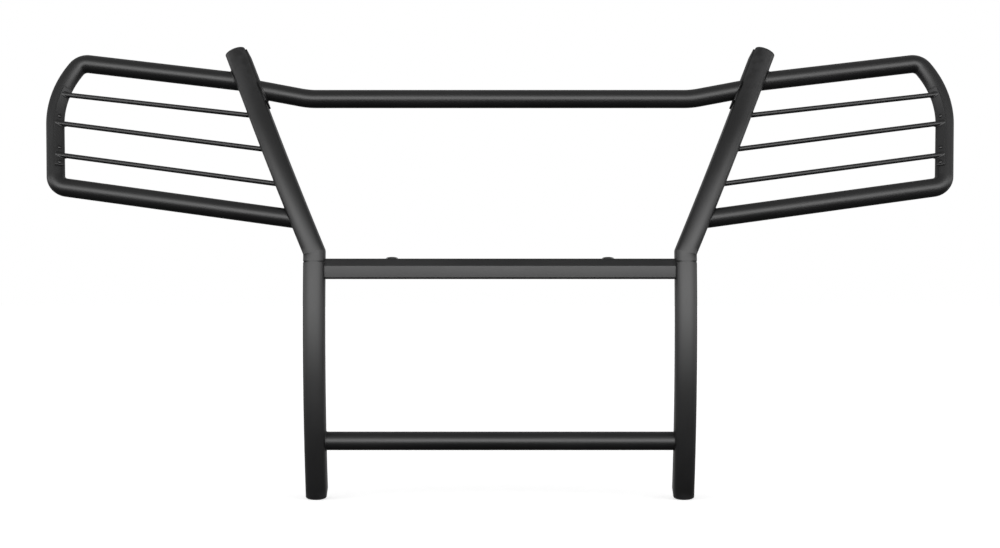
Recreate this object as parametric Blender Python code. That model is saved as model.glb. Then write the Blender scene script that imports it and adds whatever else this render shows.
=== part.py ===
"""Front grille guard for a pickup truck: two rolled uprights, cross tubes, a lamp bar
and two headlamp wings with rods.

Metres, +Z up, +X to the right as seen from in front, +Y towards the truck. Shapes are
worked out for the side at +X and mirrored for the other one. The front of the uprights
is first at Y = 0; at the end the whole guard is moved so that its origin is the bottom
centre of its box.
"""
import math

import bmesh
import bpy
import numpy as np
from mathutils import Matrix, Vector

# Clearance between pieces that touch or are welded in the real guard
GAP = 0.0003

# Upright: a rolled steel section with a crowned front
UPRIGHT_WIDTH = 0.0432
UPRIGHT_DEPTH = 0.060
UPRIGHT_WALL = 0.003
CROWN_DEPTH = 0.015
REAR_CORNER_RADIUS = 0.006
UPRIGHT_CENTRE = 0.3786
ROLL_RADIUS = 0.90
VERTICAL_HEIGHT = 0.370
SEAM_HEIGHT = 0.4916
BEND_HEIGHT = 0.509
OUTWARD_ANGLE = math.radians(22.9)
TOP_LEAN = math.radians(27.0)
ARM_HEIGHT = 0.9385

# Plastic caps in the open ends of the uprights
CAP_FLANGE = 0.003
CAP_PLUG = 0.012
CAP_EDGE = 0.001
LEG_STRAIGHT_END = 0.020

# Round tubes
TUBE_DIAMETER = 0.0381
TUBE_WALL = 0.0025
LOWER_TUBE_HEIGHT = 0.1230
UPPER_TUBE_HEIGHT = 0.8306
UPPER_TUBE_KNEE = 0.3996
UPPER_TUBE_RISE = math.radians(10.6)
UPPER_TUBE_BEND_RADIUS = 0.18

# Joint plate between the upper tube and each upright
JOINT_PLATE_THICKNESS = 0.003
JOINT_PLATE_BOTTOM = 0.8097
JOINT_PLATE_MARGIN = 0.001

# Wing tube: inner ends on the upright, then three corners, as (outward, back, up). The loop
# lies nearly in one plane, which leans back like the arms and sweeps a little towards the truck
WING_TOP_JOIN = 0.8694
WING_BOTTOM_JOIN = 0.5791
WING_TOP_CORNER = (0.8836, 0.2159, 0.9099)
WING_SHOULDER = (0.9344, 0.1885, 0.8413)
WING_FOOT = (0.9169, 0.1038, 0.6463)
WING_TOP_RADIUS = 0.027
WING_SHOULDER_RADIUS = 0.196
WING_FOOT_RADIUS = 0.029

# Flat bar on the inner front quarter of the wing tube, which carries the rods
STRAP_WIDTH = 0.020
STRAP_THICKNESS = 0.0035
STRAP_TURN = math.radians(32.0)
STRAP_TOP = 0.853
STRAP_BOTTOM = 0.6817

# Rods
ROD_DIAMETER = 0.0103
ROD_COUNT = 3
ROD_OUTER_TOP = 0.8374
ROD_OUTER_PITCH = 0.0675
ROD_INNER_TOP = 0.7956
ROD_INNER_PITCH = 0.0725
ROD_SEAT_OFFSET = 0.003
ROD_END_GAP = 0.0005

# Button-head screws through the flat bar and the tube wall
SCREW_HEAD_DIAMETER = 0.0085
SCREW_HEAD_HEIGHT = 0.0026
SCREW_SHANK_DIAMETER = 0.005
SCREW_SHANK_CLEARANCE = 0.0004
SCREW_SHANK_LENGTH = 0.010
SCREW_ABOVE_ROD = 0.0165
SCREW_BELOW_ROD = 0.0145
SCREW_RIM_SHARE = 0.3
SCREW_SHOULDER_SHARES = (0.8, 0.75)
SCREW_TOP_SHARE = 0.45

# Lamp bar: a formed channel, open to the back
BAR_BACK_OF_FRONT = 0.022
BAR_BOTTOM = 0.4546
BAR_BREAK_HEIGHT = 0.4812
BAR_TOP = 0.4964
BAR_SLOPE_DEPTH = 0.008
BAR_DEPTH = 0.040
BAR_SHEET = 0.003
BAR_EDGE_RADIUS = 0.0043

# Plugs in the lamp holes of the bar
PLUG_SPACING = 0.441
PLUG_HEAD_DIAMETER = 0.0245
PLUG_HEAD_HEIGHT = 0.0032
PLUG_STEM_DIAMETER = 0.0170
PLUG_STEM_LENGTH = 0.009
PLUG_SETBACK = 0.024
PLUG_DOME_TURN = 1.2

# Mounting plate behind each upright and the bracket bolted to it
PLATE_THICKNESS = 0.006
PLATE_OFFSET = 0.0015
PLATE_BACK = 0.150
PLATE_BOTTOM = 0.130
PLATE_TOP = 0.350
PLATE_CORNER_RADIUS = 0.012
BRACKET_THICKNESS = 0.006
BRACKET_FRONT = 0.098
BRACKET_BACK = 0.200
BRACKET_FLANGE = 0.029
BRACKET_BOTTOM = 0.150
BRACKET_TOP = 0.330
BRACKET_SLOT_LENGTH = 0.030
BOLT_BACK = 0.124
BOLT_SPACING = 0.100
BOLT_DIAMETER = 0.012
BOLT_CLEARANCE = 0.0005
BOLT_HEAD_ACROSS_FLATS = 0.018
BOLT_HEAD_HEIGHT = 0.0075
BOLT_PROJECTION = 0.013
NUT_HEIGHT = 0.0105

# How far cutters run past what they cut, and steps of the searches
CUTTER_OVERRUN = 0.004
HALVINGS = 50
SETTLING_STEPS = 20

# Facets of the solids
TUBE_FACETS = 20
ROD_FACETS = 12
SMALL_FACETS = 12
CROWN_FACETS = 10
CORNER_FACETS = 2
ROLL_STEP = math.radians(4.0)
BEND_STEP = math.radians(9.0)
SHOULDER_STEP = math.radians(5.0)

# Worked-out places
TUBE_RADIUS = TUBE_DIAMETER / 2
ROD_RADIUS = ROD_DIAMETER / 2
HALF_WIDTH = UPRIGHT_WIDTH / 2
MID_DEPTH = UPRIGHT_DEPTH / 2
BOTTOM_LEAN = math.atan2(LEG_STRAIGHT_END, ROLL_RADIUS) - math.asin(
    VERTICAL_HEIGHT / math.hypot(ROLL_RADIUS, LEG_STRAIGHT_END))
SEAM_LEAN = math.asin((SEAM_HEIGHT - VERTICAL_HEIGHT) / ROLL_RADIUS)
MITRE_CLEARANCE = HALF_WIDTH * math.tan(OUTWARD_ANGLE / 2) + UPRIGHT_DEPTH * math.sin(SEAM_LEAN) + 0.005
STUB_LENGTH = (BEND_HEIGHT + MITRE_CLEARANCE - SEAM_HEIGHT) / math.cos(SEAM_LEAN)
ARC_LENGTH = ROLL_RADIUS * (TOP_LEAN - SEAM_LEAN)
PLATE_X = UPRIGHT_CENTRE + PLATE_OFFSET
BOLT_MID_HEIGHT = (PLATE_BOTTOM + PLATE_TOP) / 2

made = []
cutters = []


# ---------------------------------------------------------------- materials
def make_material(name, colour, roughness, metallic):
    material = bpy.data.materials.new(name)
    material.use_nodes = True
    shader = material.node_tree.nodes["Principled BSDF"]
    shader.inputs["Base Color"].default_value = (*colour, 1.0)
    shader.inputs["Roughness"].default_value = roughness
    shader.inputs["Metallic"].default_value = metallic
    return material


# ---------------------------------------------------------------- small geometry
def unit(vector):
    vector = np.asarray(vector, dtype=float)
    return vector / np.linalg.norm(vector)


def circle(radius, facets):
    """Points of a circle in a plane, as two columns."""
    turn = np.arange(facets) * 2 * math.pi / facets
    return radius * np.column_stack((np.cos(turn), np.sin(turn)))


def hexagon(across_flats, facets):
    """A hexagon sampled at the same turns as circle(), so that the two can be joined."""
    turn = np.arange(facets) * 2 * math.pi / facets
    off_flat = (turn + math.pi / 6) % (math.pi / 3) - math.pi / 6
    reach = across_flats / 2 / np.cos(off_flat)
    return reach[:, None] * np.column_stack((np.cos(turn), np.sin(turn)))


def place_ring(flat, centre, first, second):
    """Flat points put in space on two axes through a centre."""
    return np.asarray(centre) + flat[:, :1] * np.asarray(first) + flat[:, 1:] * np.asarray(second)


def slide_to_plane(ring, direction, point, normal):
    """Moves each point along a direction until it lies on a plane."""
    reach = ((np.asarray(point) - ring) @ normal) / (np.asarray(direction) @ normal)
    return ring + reach[:, None] * np.asarray(direction)


# ---------------------------------------------------------------- meshes and objects
def loft_faces(count, rings, first=0):
    """Quads between neighbouring rings of the same number of points."""
    faces = []
    for ring in range(rings - 1):
        for k in range(count):
            after = (k + 1) % count
            low = first + ring * count
            faces.append((low + k, low + after, low + count + after, low + count + k))
    return faces


def solid_from_rings(rings):
    """A closed solid through a stack of rings, with a flat face at each end."""
    count, total = len(rings[0]), len(rings)
    faces = loft_faces(count, total)
    faces.append(tuple(range(count)))
    faces.append(tuple((total - 1) * count + k for k in range(count)))
    return np.vstack(rings), faces


def hollow_from_rings(outer, inner):
    """A closed wall between outer and inner rings, open through the middle."""
    count, total = len(outer[0]), len(outer)
    base = count * total
    faces = loft_faces(count, total) + loft_faces(count, total, first=base)
    for row in (0, total - 1):
        low = row * count
        for k in range(count):
            after = (k + 1) % count
            faces.append((low + k, low + after, base + low + after, base + low + k))
    return np.vstack(outer + inner), faces


def add_object(name, shape, material, side=1, matrix=None, smooth=True):
    """Puts a shape in the scene, mirrored when side is -1."""
    points, faces = shape
    points = np.asarray(points) * (side, 1, 1)
    mesh = bpy.data.meshes.new(name)
    mesh.from_pydata(points.tolist(), [], faces)
    edit = bmesh.new()
    edit.from_mesh(mesh)
    bmesh.ops.recalc_face_normals(edit, faces=edit.faces)
    edit.to_mesh(mesh)
    edit.free()
    if smooth:
        mesh.shade_smooth()
        mesh.set_sharp_from_angle(angle=math.radians(35))
    obj = bpy.data.objects.new(name, mesh)
    bpy.context.scene.collection.objects.link(obj)
    if matrix is not None:
        obj.matrix_world = matrix
    if material is None:
        obj.hide_render = True
        obj.display_type = "WIRE"
        cutters.append(obj)
    else:
        mesh.materials.append(material)
        made.append(obj)
    return obj


def cut(obj, cutter):
    modifier = obj.modifiers.new("cut_" + cutter.name, "BOOLEAN")
    modifier.operation = "DIFFERENCE"
    modifier.solver = "EXACT"
    modifier.object = cutter


def axis_matrix(centre, axis, side=1):
    """Places local +Z along an axis at a centre, both mirrored when side is -1."""
    centre = Vector(np.asarray(centre) * (side, 1, 1))
    axis = Vector(np.asarray(axis) * (side, 1, 1))
    return Matrix.Translation(centre) @ axis.to_track_quat("Z", "Y").to_matrix().to_4x4()


def rod_cutter(name, radius, low, high, centre, axis, side):
    """A plain cylinder along an axis, from low to high on it."""
    flat = circle(radius, SMALL_FACETS)
    rings = [place_ring(flat, (0, 0, level), (1, 0, 0), (0, 1, 0)) for level in (low, high)]
    return add_object(name, solid_from_rings(rings), None, matrix=axis_matrix(centre, axis, side))


# ---------------------------------------------------------------- the upright's shape
def upright_outline(inset=0.0):
    """(across, depth) of the section: elliptical crown, flat sides and back, round corners."""
    half = HALF_WIDTH - inset
    turn = np.linspace(0, math.pi, CROWN_FACETS + 1)
    crown = CROWN_DEPTH - (CROWN_DEPTH - inset) * np.sin(turn)
    front = np.column_stack((-half * np.cos(turn), crown))
    radius = max(REAR_CORNER_RADIUS - inset, 0.001)
    quarter = np.linspace(0, math.pi / 2, CORNER_FACETS + 1)
    back = UPRIGHT_DEPTH - inset - radius
    right = np.column_stack((half - radius + radius * np.cos(quarter), back + radius * np.sin(quarter)))
    return np.vstack((front, right, right[::-1] * (-1, 1)))


def leg_ring(outline, lean, along=0.0):
    """Section of the lower upright where its front leans by an angle, moved along it."""
    across, depth = outline.T
    back = ROLL_RADIUS * (1 - math.cos(lean)) + along * math.sin(lean)
    up = VERTICAL_HEIGHT + ROLL_RADIUS * math.sin(lean) + along * math.cos(lean)
    return np.column_stack((
        UPRIGHT_CENTRE + across,
        back + depth * math.cos(lean),
        up - depth * math.sin(lean)))


def leg_leans():
    """Leans of the sections that the lower upright is made of, from the bottom up."""
    steps = max(2, round((SEAM_LEAN - BOTTOM_LEAN) / ROLL_STEP))
    return np.linspace(BOTTOM_LEAN, SEAM_LEAN, steps + 1)


def arm_front(run):
    """Front of the arm, before it is turned outward: back, up and lean at a run above the seam."""
    stub = min(run, STUB_LENGTH)
    arc = min(max(run - STUB_LENGTH, 0.0), ARC_LENGTH)
    rest = max(run - STUB_LENGTH - ARC_LENGTH, 0.0)
    lean = SEAM_LEAN + arc / ROLL_RADIUS
    back = ROLL_RADIUS * (1 - math.cos(lean)) + stub * math.sin(SEAM_LEAN) + rest * math.sin(lean)
    up = VERTICAL_HEIGHT + ROLL_RADIUS * math.sin(lean)
    up += stub * math.cos(SEAM_LEAN) + rest * math.cos(lean)
    return back, up, lean


def arm_ring(outline, run, turned=True):
    """Section of the arm at a run above the seam, turned outward about the bend."""
    across, depth = outline.T
    back, up, lean = arm_front(run)
    level = up - depth * math.sin(lean) - BEND_HEIGHT
    turn = OUTWARD_ANGLE if turned else 0.0
    return np.column_stack((
        UPRIGHT_CENTRE + across * math.cos(turn) + level * math.sin(turn),
        back + depth * math.cos(lean),
        BEND_HEIGHT - across * math.sin(turn) + level * math.cos(turn)))


def arm_mitre_ring(outline):
    """Section on the plane that halves the bend."""
    along = np.array((0.0, math.sin(SEAM_LEAN), math.cos(SEAM_LEAN)))
    normal = np.array((math.sin(OUTWARD_ANGLE / 2), 0.0, math.cos(OUTWARD_ANGLE / 2)))
    ring = arm_ring(outline, 0.0, turned=False)
    return slide_to_plane(ring, along, (UPRIGHT_CENTRE, 0.0, BEND_HEIGHT), normal)


def arm_point(run, across, depth):
    return arm_ring(np.array([[across, depth]]), run)[0]


def run_at_height(height, across, depth):
    """Run at which a line along the arm reaches a height, by halving."""
    low, high = 0.0, 1.0
    for _ in range(HALVINGS):
        middle = (low + high) / 2
        if arm_point(middle, across, depth)[2] < height:
            low = middle
        else:
            high = middle
    return (low + high) / 2


def arm_side_point(height, across):
    """Point at a height on the middle of the arm's side."""
    return arm_point(run_at_height(height, across, MID_DEPTH), across, MID_DEPTH)


ARM_SIDE = np.array((math.cos(OUTWARD_ANGLE), 0.0, -math.sin(OUTWARD_ANGLE)))
ARM_RUN = run_at_height(ARM_HEIGHT, 0.0, 0.0)


def build_upright(side, prefix, paint, plastic):
    outer, inner = upright_outline(), upright_outline(UPRIGHT_WALL)
    plug = upright_outline(UPRIGHT_WALL + GAP)
    edge = upright_outline(CAP_EDGE)

    def leg_wall(outline):
        end = leg_ring(outline, BOTTOM_LEAN, CAP_FLANGE + GAP - LEG_STRAIGHT_END)
        return [end] + [leg_ring(outline, lean) for lean in leg_leans()]

    add_object(prefix + "upright_lower", hollow_from_rings(leg_wall(outer), leg_wall(inner)), paint, side)

    low_cap = [leg_ring(outline, BOTTOM_LEAN, level - LEG_STRAIGHT_END) for outline, level in (
        (edge, 0.0), (outer, CAP_EDGE), (outer, CAP_FLANGE), (plug, CAP_FLANGE),
        (plug, CAP_FLANGE + CAP_PLUG))]
    add_object(prefix + "bottom_cap", solid_from_rings(low_cap), plastic, side)

    arc_steps = max(2, round((TOP_LEAN - SEAM_LEAN) / ROLL_STEP))
    runs = list(STUB_LENGTH + np.linspace(0.0, ARC_LENGTH, arc_steps + 1))
    runs.append(ARM_RUN - CAP_FLANGE - GAP)

    def arm_wall(outline):
        below = [arm_ring(outline, GAP, turned=False), arm_mitre_ring(outline)]
        return below + [arm_ring(outline, run) for run in runs]

    add_object(prefix + "upright_upper", hollow_from_rings(arm_wall(outer), arm_wall(inner)), paint, side)

    flange_run = ARM_RUN - CAP_FLANGE
    high_cap = [arm_ring(plug, flange_run - CAP_PLUG), arm_ring(plug, flange_run),
                arm_ring(outer, flange_run), arm_ring(outer, ARM_RUN - CAP_EDGE),
                arm_ring(edge, ARM_RUN)]
    add_object(prefix + "top_cap", solid_from_rings(high_cap), plastic, side)


def build_joint_plate(side, prefix, paint):
    near, far = -(HALF_WIDTH + GAP), -(HALF_WIDTH + GAP + JOINT_PLATE_THICKNESS)
    shallow, deep = CROWN_DEPTH, UPRIGHT_DEPTH - REAR_CORNER_RADIUS
    outline = np.array([(near, shallow), (near, deep), (far, deep), (far, shallow)])
    low = run_at_height(JOINT_PLATE_BOTTOM, near, deep)
    high = ARM_RUN - CAP_FLANGE - JOINT_PLATE_MARGIN
    rings = [arm_ring(outline, run) for run in (low, high)]
    add_object(prefix + "joint_plate", solid_from_rings(rings), paint, side, smooth=False)


# ---------------------------------------------------------------- tubes along paths
def fillet_path(corners, radii, steps):
    """Points and directions along straight runs whose corners are rounded by arcs."""
    corners = [np.asarray(c, dtype=float) for c in corners]
    points = [corners[0]]
    directions = [unit(corners[1] - corners[0])]
    for before, corner, after, radius, step in zip(corners, corners[1:], corners[2:], radii, steps):
        come, go = unit(corner - before), unit(after - corner)
        angle = math.acos(np.clip(come @ go, -1, 1))
        start = corner - come * radius * math.tan(angle / 2)
        inward = unit(go - come * (come @ go))
        centre = start + inward * radius
        count = max(2, math.ceil(angle / step))
        for turn in np.linspace(0, angle, count + 1):
            points.append(centre - inward * radius * math.cos(turn) + come * radius * math.sin(turn))
            directions.append(come * math.cos(turn) + inward * math.sin(turn))
    points.append(corners[-1])
    directions.append(unit(corners[-1] - corners[-2]))
    return np.array(points), np.array(directions)


def path_axes(direction):
    """Two axes across a path: the one nearest the front, and the other."""
    front = np.array((0.0, -1.0, 0.0))
    front = unit(front - (front @ direction) * direction)
    return front, np.cross(direction, front)


def tube_rings(points, directions, radius, facets):
    flat = circle(radius, facets)
    return [place_ring(flat, p, *path_axes(d)) for p, d in zip(points, directions)]


def trimmed_tube(points, directions, first_plane, last_plane):
    """A hollow tube along a path, each end trimmed to a plane of (point, normal)."""
    walls = []
    for radius in (TUBE_RADIUS, TUBE_RADIUS - TUBE_WALL):
        rings = tube_rings(points, directions, radius, TUBE_FACETS)
        rings[0] = slide_to_plane(rings[0], directions[0], *first_plane)
        rings[-1] = slide_to_plane(rings[-1], directions[-1], *last_plane)
        walls.append(rings)
    return hollow_from_rings(*walls)


def mirrored(plane):
    return tuple(np.asarray(v) * (-1, 1, 1) for v in plane)


def build_lower_tube(paint):
    reach = ROLL_RADIUS - MID_DEPTH
    lean = math.asin((LOWER_TUBE_HEIGHT - VERTICAL_HEIGHT) / reach)
    back = ROLL_RADIUS - reach * math.cos(lean)
    end = np.array((UPRIGHT_CENTRE - HALF_WIDTH - GAP, back, LOWER_TUBE_HEIGHT))
    points = np.array((end * (-1, 1, 1), end))
    directions = np.array(((1.0, 0, 0), (1.0, 0, 0)))
    plane = (end, np.array((1.0, 0, 0)))
    add_object("lower_cross_tube", trimmed_tube(points, directions, mirrored(plane), plane), paint)


def build_upper_tube(paint):
    face = -(HALF_WIDTH + GAP + JOINT_PLATE_THICKNESS + GAP)
    slope = math.tan(UPPER_TUBE_RISE)
    height = UPPER_TUBE_HEIGHT
    for _ in range(SETTLING_STEPS):
        end = arm_side_point(height, face)
        height = UPPER_TUBE_HEIGHT + slope * (end[0] - UPPER_TUBE_KNEE)
    knee = np.array((UPPER_TUBE_KNEE, end[1], UPPER_TUBE_HEIGHT))
    corners = [end * (-1, 1, 1), knee * (-1, 1, 1), knee, end]
    radii = [UPPER_TUBE_BEND_RADIUS] * 2
    points, directions = fillet_path(corners, radii, [SHOULDER_STEP] * 2)
    plane = (end, ARM_SIDE)
    add_object("upper_cross_tube", trimmed_tube(points, directions, mirrored(plane), plane), paint)


def wing_path():
    top = arm_side_point(WING_TOP_JOIN, HALF_WIDTH + GAP)
    bottom = arm_side_point(WING_BOTTOM_JOIN, HALF_WIDTH + GAP)
    corners = [top, WING_TOP_CORNER, WING_SHOULDER, WING_FOOT, bottom]
    radii = [WING_TOP_RADIUS, WING_SHOULDER_RADIUS, WING_FOOT_RADIUS]
    return fillet_path(corners, radii, [BEND_STEP, SHOULDER_STEP, BEND_STEP])


def strap_frame(path, height):
    """Where the outer run of the wing tube passes a height: tube centre, run and strap axes."""
    points, _ = path
    for low in range(len(points) - 1):
        here, there = points[low], points[low + 1]
        if here[2] >= height > there[2] and here[0] > UPRIGHT_CENTRE * 2:
            break
    share = (here[2] - height) / (here[2] - there[2])
    direction = unit(there - here)
    normal, across = strap_axes(direction)
    return here + share * (there - here), direction, normal, across


def strap_axes(direction):
    """Face normal and width axis of the strap, turned from the front towards the opening."""
    front, other = path_axes(direction)
    inward = other if other[0] < 0 else -other
    normal = math.cos(STRAP_TURN) * front + math.sin(STRAP_TURN) * inward
    across = -math.sin(STRAP_TURN) * front + math.cos(STRAP_TURN) * inward
    return normal, across


def screw_heights():
    rods = [ROD_OUTER_TOP - k * ROD_OUTER_PITCH for k in range(ROD_COUNT)]
    return [rods[1] + SCREW_ABOVE_ROD, rods[2] + SCREW_ABOVE_ROD, rods[2] - SCREW_BELOW_ROD]


def build_wing(side, prefix, paint, dark):
    path = wing_path()
    points, directions = path
    planes = [(arm_side_point(h, HALF_WIDTH + GAP), ARM_SIDE) for h in (WING_TOP_JOIN, WING_BOTTOM_JOIN)]
    tube = add_object(prefix + "wing_tube", trimmed_tube(points, directions, *planes), paint, side)

    inner_face = TUBE_RADIUS + GAP
    outer_face = inner_face + STRAP_THICKNESS
    half = STRAP_WIDTH / 2
    outline = np.array([(inner_face, -half), (inner_face, half), (outer_face, half), (outer_face, -half)])
    strap_stations = [strap_frame(path, STRAP_TOP)]
    for point, direction in zip(points, directions):
        if STRAP_BOTTOM < point[2] < STRAP_TOP and point[0] > WING_TOP_CORNER[0]:
            strap_stations.append((point, direction, *strap_axes(direction)))
    strap_stations.append(strap_frame(path, STRAP_BOTTOM))
    rings = [place_ring(outline, point, normal, across) for point, _, normal, across in strap_stations]
    strap = add_object(prefix + "rod_strap", solid_from_rings(rings), paint, side, smooth=False)

    for number, height in enumerate(screw_heights(), 1):
        centre, _, normal, _ = strap_frame(path, height)
        seat = centre + normal * (outer_face + GAP)
        build_screw(side, prefix + "strap_screw_%d" % number, seat, normal, dark)
        hole_radius = SCREW_SHANK_DIAMETER / 2 + SCREW_SHANK_CLEARANCE
        reach = STRAP_THICKNESS + TUBE_WALL + 3 * GAP + CUTTER_OVERRUN
        cutter = rod_cutter(prefix + "screw_hole_%d" % number, hole_radius, -reach, CUTTER_OVERRUN, seat,
                             normal, side)
        cut(strap, cutter)
        cut(tube, cutter)

    for number in range(ROD_COUNT):
        build_rod(side, prefix + "rod_%d" % (number + 1), path, number, outer_face, paint)


def build_screw(side, name, seat, normal, dark):
    shank = circle(SCREW_SHANK_DIAMETER / 2, SMALL_FACETS)
    head = circle(SCREW_HEAD_DIAMETER / 2, SMALL_FACETS)
    wide, high = SCREW_SHOULDER_SHARES
    levels = [(shank, -SCREW_SHANK_LENGTH), (shank, 0.0), (head, 0.0),
              (head, SCREW_RIM_SHARE * SCREW_HEAD_HEIGHT), (head * wide, high * SCREW_HEAD_HEIGHT),
              (head * SCREW_TOP_SHARE, SCREW_HEAD_HEIGHT)]
    rings = [place_ring(flat, (0, 0, level), (1, 0, 0), (0, 1, 0)) for flat, level in levels]
    add_object(name, solid_from_rings(rings), dark, matrix=axis_matrix(seat, normal, side))


def build_rod(side, name, path, number, strap_face, paint):
    inner = arm_side_point(ROD_INNER_TOP - number * ROD_INNER_PITCH, HALF_WIDTH + GAP)
    centre, _, normal, across = strap_frame(path, ROD_OUTER_TOP - number * ROD_OUTER_PITCH)
    outer = centre + normal * (strap_face + ROD_END_GAP) + across * ROD_SEAT_OFFSET
    direction = unit(outer - inner)
    rings = tube_rings([inner, outer], [direction] * 2, ROD_RADIUS, ROD_FACETS)
    rings[0] = slide_to_plane(rings[0], direction, inner, ARM_SIDE)
    rings[1] = slide_to_plane(rings[1], direction, outer, normal)
    add_object(name, solid_from_rings(rings), paint, side)


# ---------------------------------------------------------------- lamp bar
def bar_profile():
    """(back, up) outline of the formed channel, with its lower front edge rounded."""
    front = BAR_BACK_OF_FRONT
    deep = front + BAR_DEPTH
    sheet, radius = BAR_SHEET, BAR_EDGE_RADIUS
    slope = math.atan2(BAR_SLOPE_DEPTH, BAR_TOP - BAR_BREAK_HEIGHT)
    quarter = np.linspace(0, math.pi / 2, 4)
    outer_turn = [(front + radius - radius * math.sin(a), BAR_BOTTOM + radius - radius * math.cos(a))
                  for a in quarter]
    inner_turn = [(front + radius - (radius - sheet) * math.sin(a),
                   BAR_BOTTOM + radius - (radius - sheet) * math.cos(a)) for a in quarter[::-1]]
    outside = [(deep, BAR_BOTTOM)] + outer_turn
    outside += [(front, BAR_BREAK_HEIGHT), (front + BAR_SLOPE_DEPTH, BAR_TOP), (deep, BAR_TOP)]
    break_in = sheet * math.tan(slope / 2)
    top_in = sheet * math.tan((math.pi / 2 - slope) / 2)
    inside = [(deep, BAR_TOP - sheet), (front + BAR_SLOPE_DEPTH + top_in, BAR_TOP - sheet),
              (front + sheet, BAR_BREAK_HEIGHT - break_in)]
    inside += inner_turn + [(deep, BAR_BOTTOM + sheet)]
    return np.array(outside + inside)


def build_bar(paint, plastic):
    profile = bar_profile()
    half = UPRIGHT_CENTRE - HALF_WIDTH - GAP
    rings = [np.column_stack((np.full(len(profile), x), profile)) for x in (-half, half)]
    bar = add_object("lamp_bar", solid_from_rings(rings), paint, smooth=False)
    for side, prefix in ((-1, "left_"), (1, "right_")):
        seat = (PLUG_SPACING / 2, BAR_BACK_OF_FRONT + PLUG_SETBACK, BAR_TOP + GAP)
        hole = PLUG_STEM_DIAMETER / 2 + GAP
        cutter = rod_cutter(prefix + "plug_hole", hole, -BAR_SHEET * 2, BAR_SHEET, seat, (0, 0, 1), side)
        cut(bar, cutter)
        build_plug(side, prefix + "lamp_hole_plug", seat, plastic)


def build_plug(side, name, seat, plastic):
    """A domed head on a stem; the dome's rings follow an ellipse."""
    stem = circle(PLUG_STEM_DIAMETER / 2, SMALL_FACETS)
    head = circle(PLUG_HEAD_DIAMETER / 2, SMALL_FACETS)
    levels = [(stem, -PLUG_STEM_LENGTH), (stem, 0.0)]
    levels += [(head * math.cos(a), PLUG_HEAD_HEIGHT * math.sin(a))
               for a in np.linspace(0, PLUG_DOME_TURN, 5)]
    rings = [place_ring(flat, (0, 0, level), (1, 0, 0), (0, 1, 0)) for flat, level in levels]
    add_object(name, solid_from_rings(rings), plastic, matrix=axis_matrix(seat, (0, 0, 1), side))


# ---------------------------------------------------------------- mounting hardware
def rounded_corner(corner, radius, start):
    """Quarter-round points about a corner's centre, from a starting angle."""
    turns = start + np.linspace(0, math.pi / 2, 4)
    return [(corner[0] + radius * math.cos(a), corner[1] + radius * math.sin(a)) for a in turns]


def build_mounting(side, prefix, paint, zinc):
    plate_inner = PLATE_X - PLATE_THICKNESS / 2
    plate_outer = PLATE_X + PLATE_THICKNESS / 2

    rear = np.array([[0.0, UPRIGHT_DEPTH + GAP]])
    back_line = np.array([leg_ring(rear, lean)[0, 1:] for lean in leg_leans()])
    heights = [z for z in back_line[::-1, 1] if PLATE_BOTTOM < z < PLATE_TOP]
    heights = [PLATE_TOP] + heights + [PLATE_BOTTOM]
    seat = list(zip(np.interp(heights, back_line[:, 1], back_line[:, 0]), heights))
    radius = PLATE_CORNER_RADIUS
    outline = seat + rounded_corner((PLATE_BACK - radius, PLATE_BOTTOM + radius), radius, -math.pi / 2)
    outline += rounded_corner((PLATE_BACK - radius, PLATE_TOP - radius), radius, 0.0)
    outline = np.array(outline)
    rings = [np.column_stack((np.full(len(outline), x), outline)) for x in (plate_inner, plate_outer)]
    plate = add_object(prefix + "mounting_plate", solid_from_rings(rings), paint, side, smooth=False)

    leg = plate_outer + GAP
    profile = np.array([(leg, BRACKET_FRONT), (leg, BRACKET_BACK), (leg + BRACKET_FLANGE, BRACKET_BACK),
                        (leg + BRACKET_FLANGE, BRACKET_BACK - BRACKET_THICKNESS),
                        (leg + BRACKET_THICKNESS, BRACKET_BACK - BRACKET_THICKNESS),
                        (leg + BRACKET_THICKNESS, BRACKET_FRONT)])
    rings = [np.column_stack((profile, np.full(len(profile), z))) for z in (BRACKET_BOTTOM, BRACKET_TOP)]
    bracket = add_object(prefix + "frame_bracket", solid_from_rings(rings), paint, side, smooth=False)

    flange_middle = leg + (BRACKET_THICKNESS + BRACKET_FLANGE) / 2
    for number, sign in enumerate((1, -1), 1):
        height = BOLT_MID_HEIGHT + sign * BOLT_SPACING / 2
        head_seat = (plate_inner - GAP, BOLT_BACK, height)
        hole = rod_cutter(prefix + "bolt_hole_%d" % number, BOLT_DIAMETER / 2 + BOLT_CLEARANCE,
                          -CUTTER_OVERRUN, BRACKET_FLANGE, head_seat, (1, 0, 0), side)
        cut(plate, hole)
        cut(bracket, hole)
        cut(bracket, slot_cutter(prefix + "slot_%d" % number, flange_middle, height, side))
        build_bolt(side, prefix + "bolt_%d" % number, head_seat, zinc)
        nut_seat = (leg + BRACKET_THICKNESS + GAP, BOLT_BACK, height)
        build_nut(side, prefix + "nut_%d" % number, nut_seat, zinc)


def slot_cutter(name, middle, height, side):
    """An upright slot through the bracket's rear flange."""
    radius = BOLT_DIAMETER / 2 + BOLT_CLEARANCE
    straight = (BRACKET_SLOT_LENGTH - 2 * radius) / 2
    turn = np.linspace(0, math.pi, 7)
    top = np.column_stack((middle + radius * np.cos(turn), height + straight + radius * np.sin(turn)))
    low = np.column_stack((middle - radius * np.cos(turn), height - straight - radius * np.sin(turn)))
    flat = np.vstack((top, low))
    levels = (BRACKET_BACK - 2 * BRACKET_THICKNESS, BRACKET_BACK + BRACKET_THICKNESS)
    rings = [np.column_stack((flat[:, 0], np.full(len(flat), y), flat[:, 1])) for y in levels]
    return add_object(name, solid_from_rings(rings), None, side)


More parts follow.
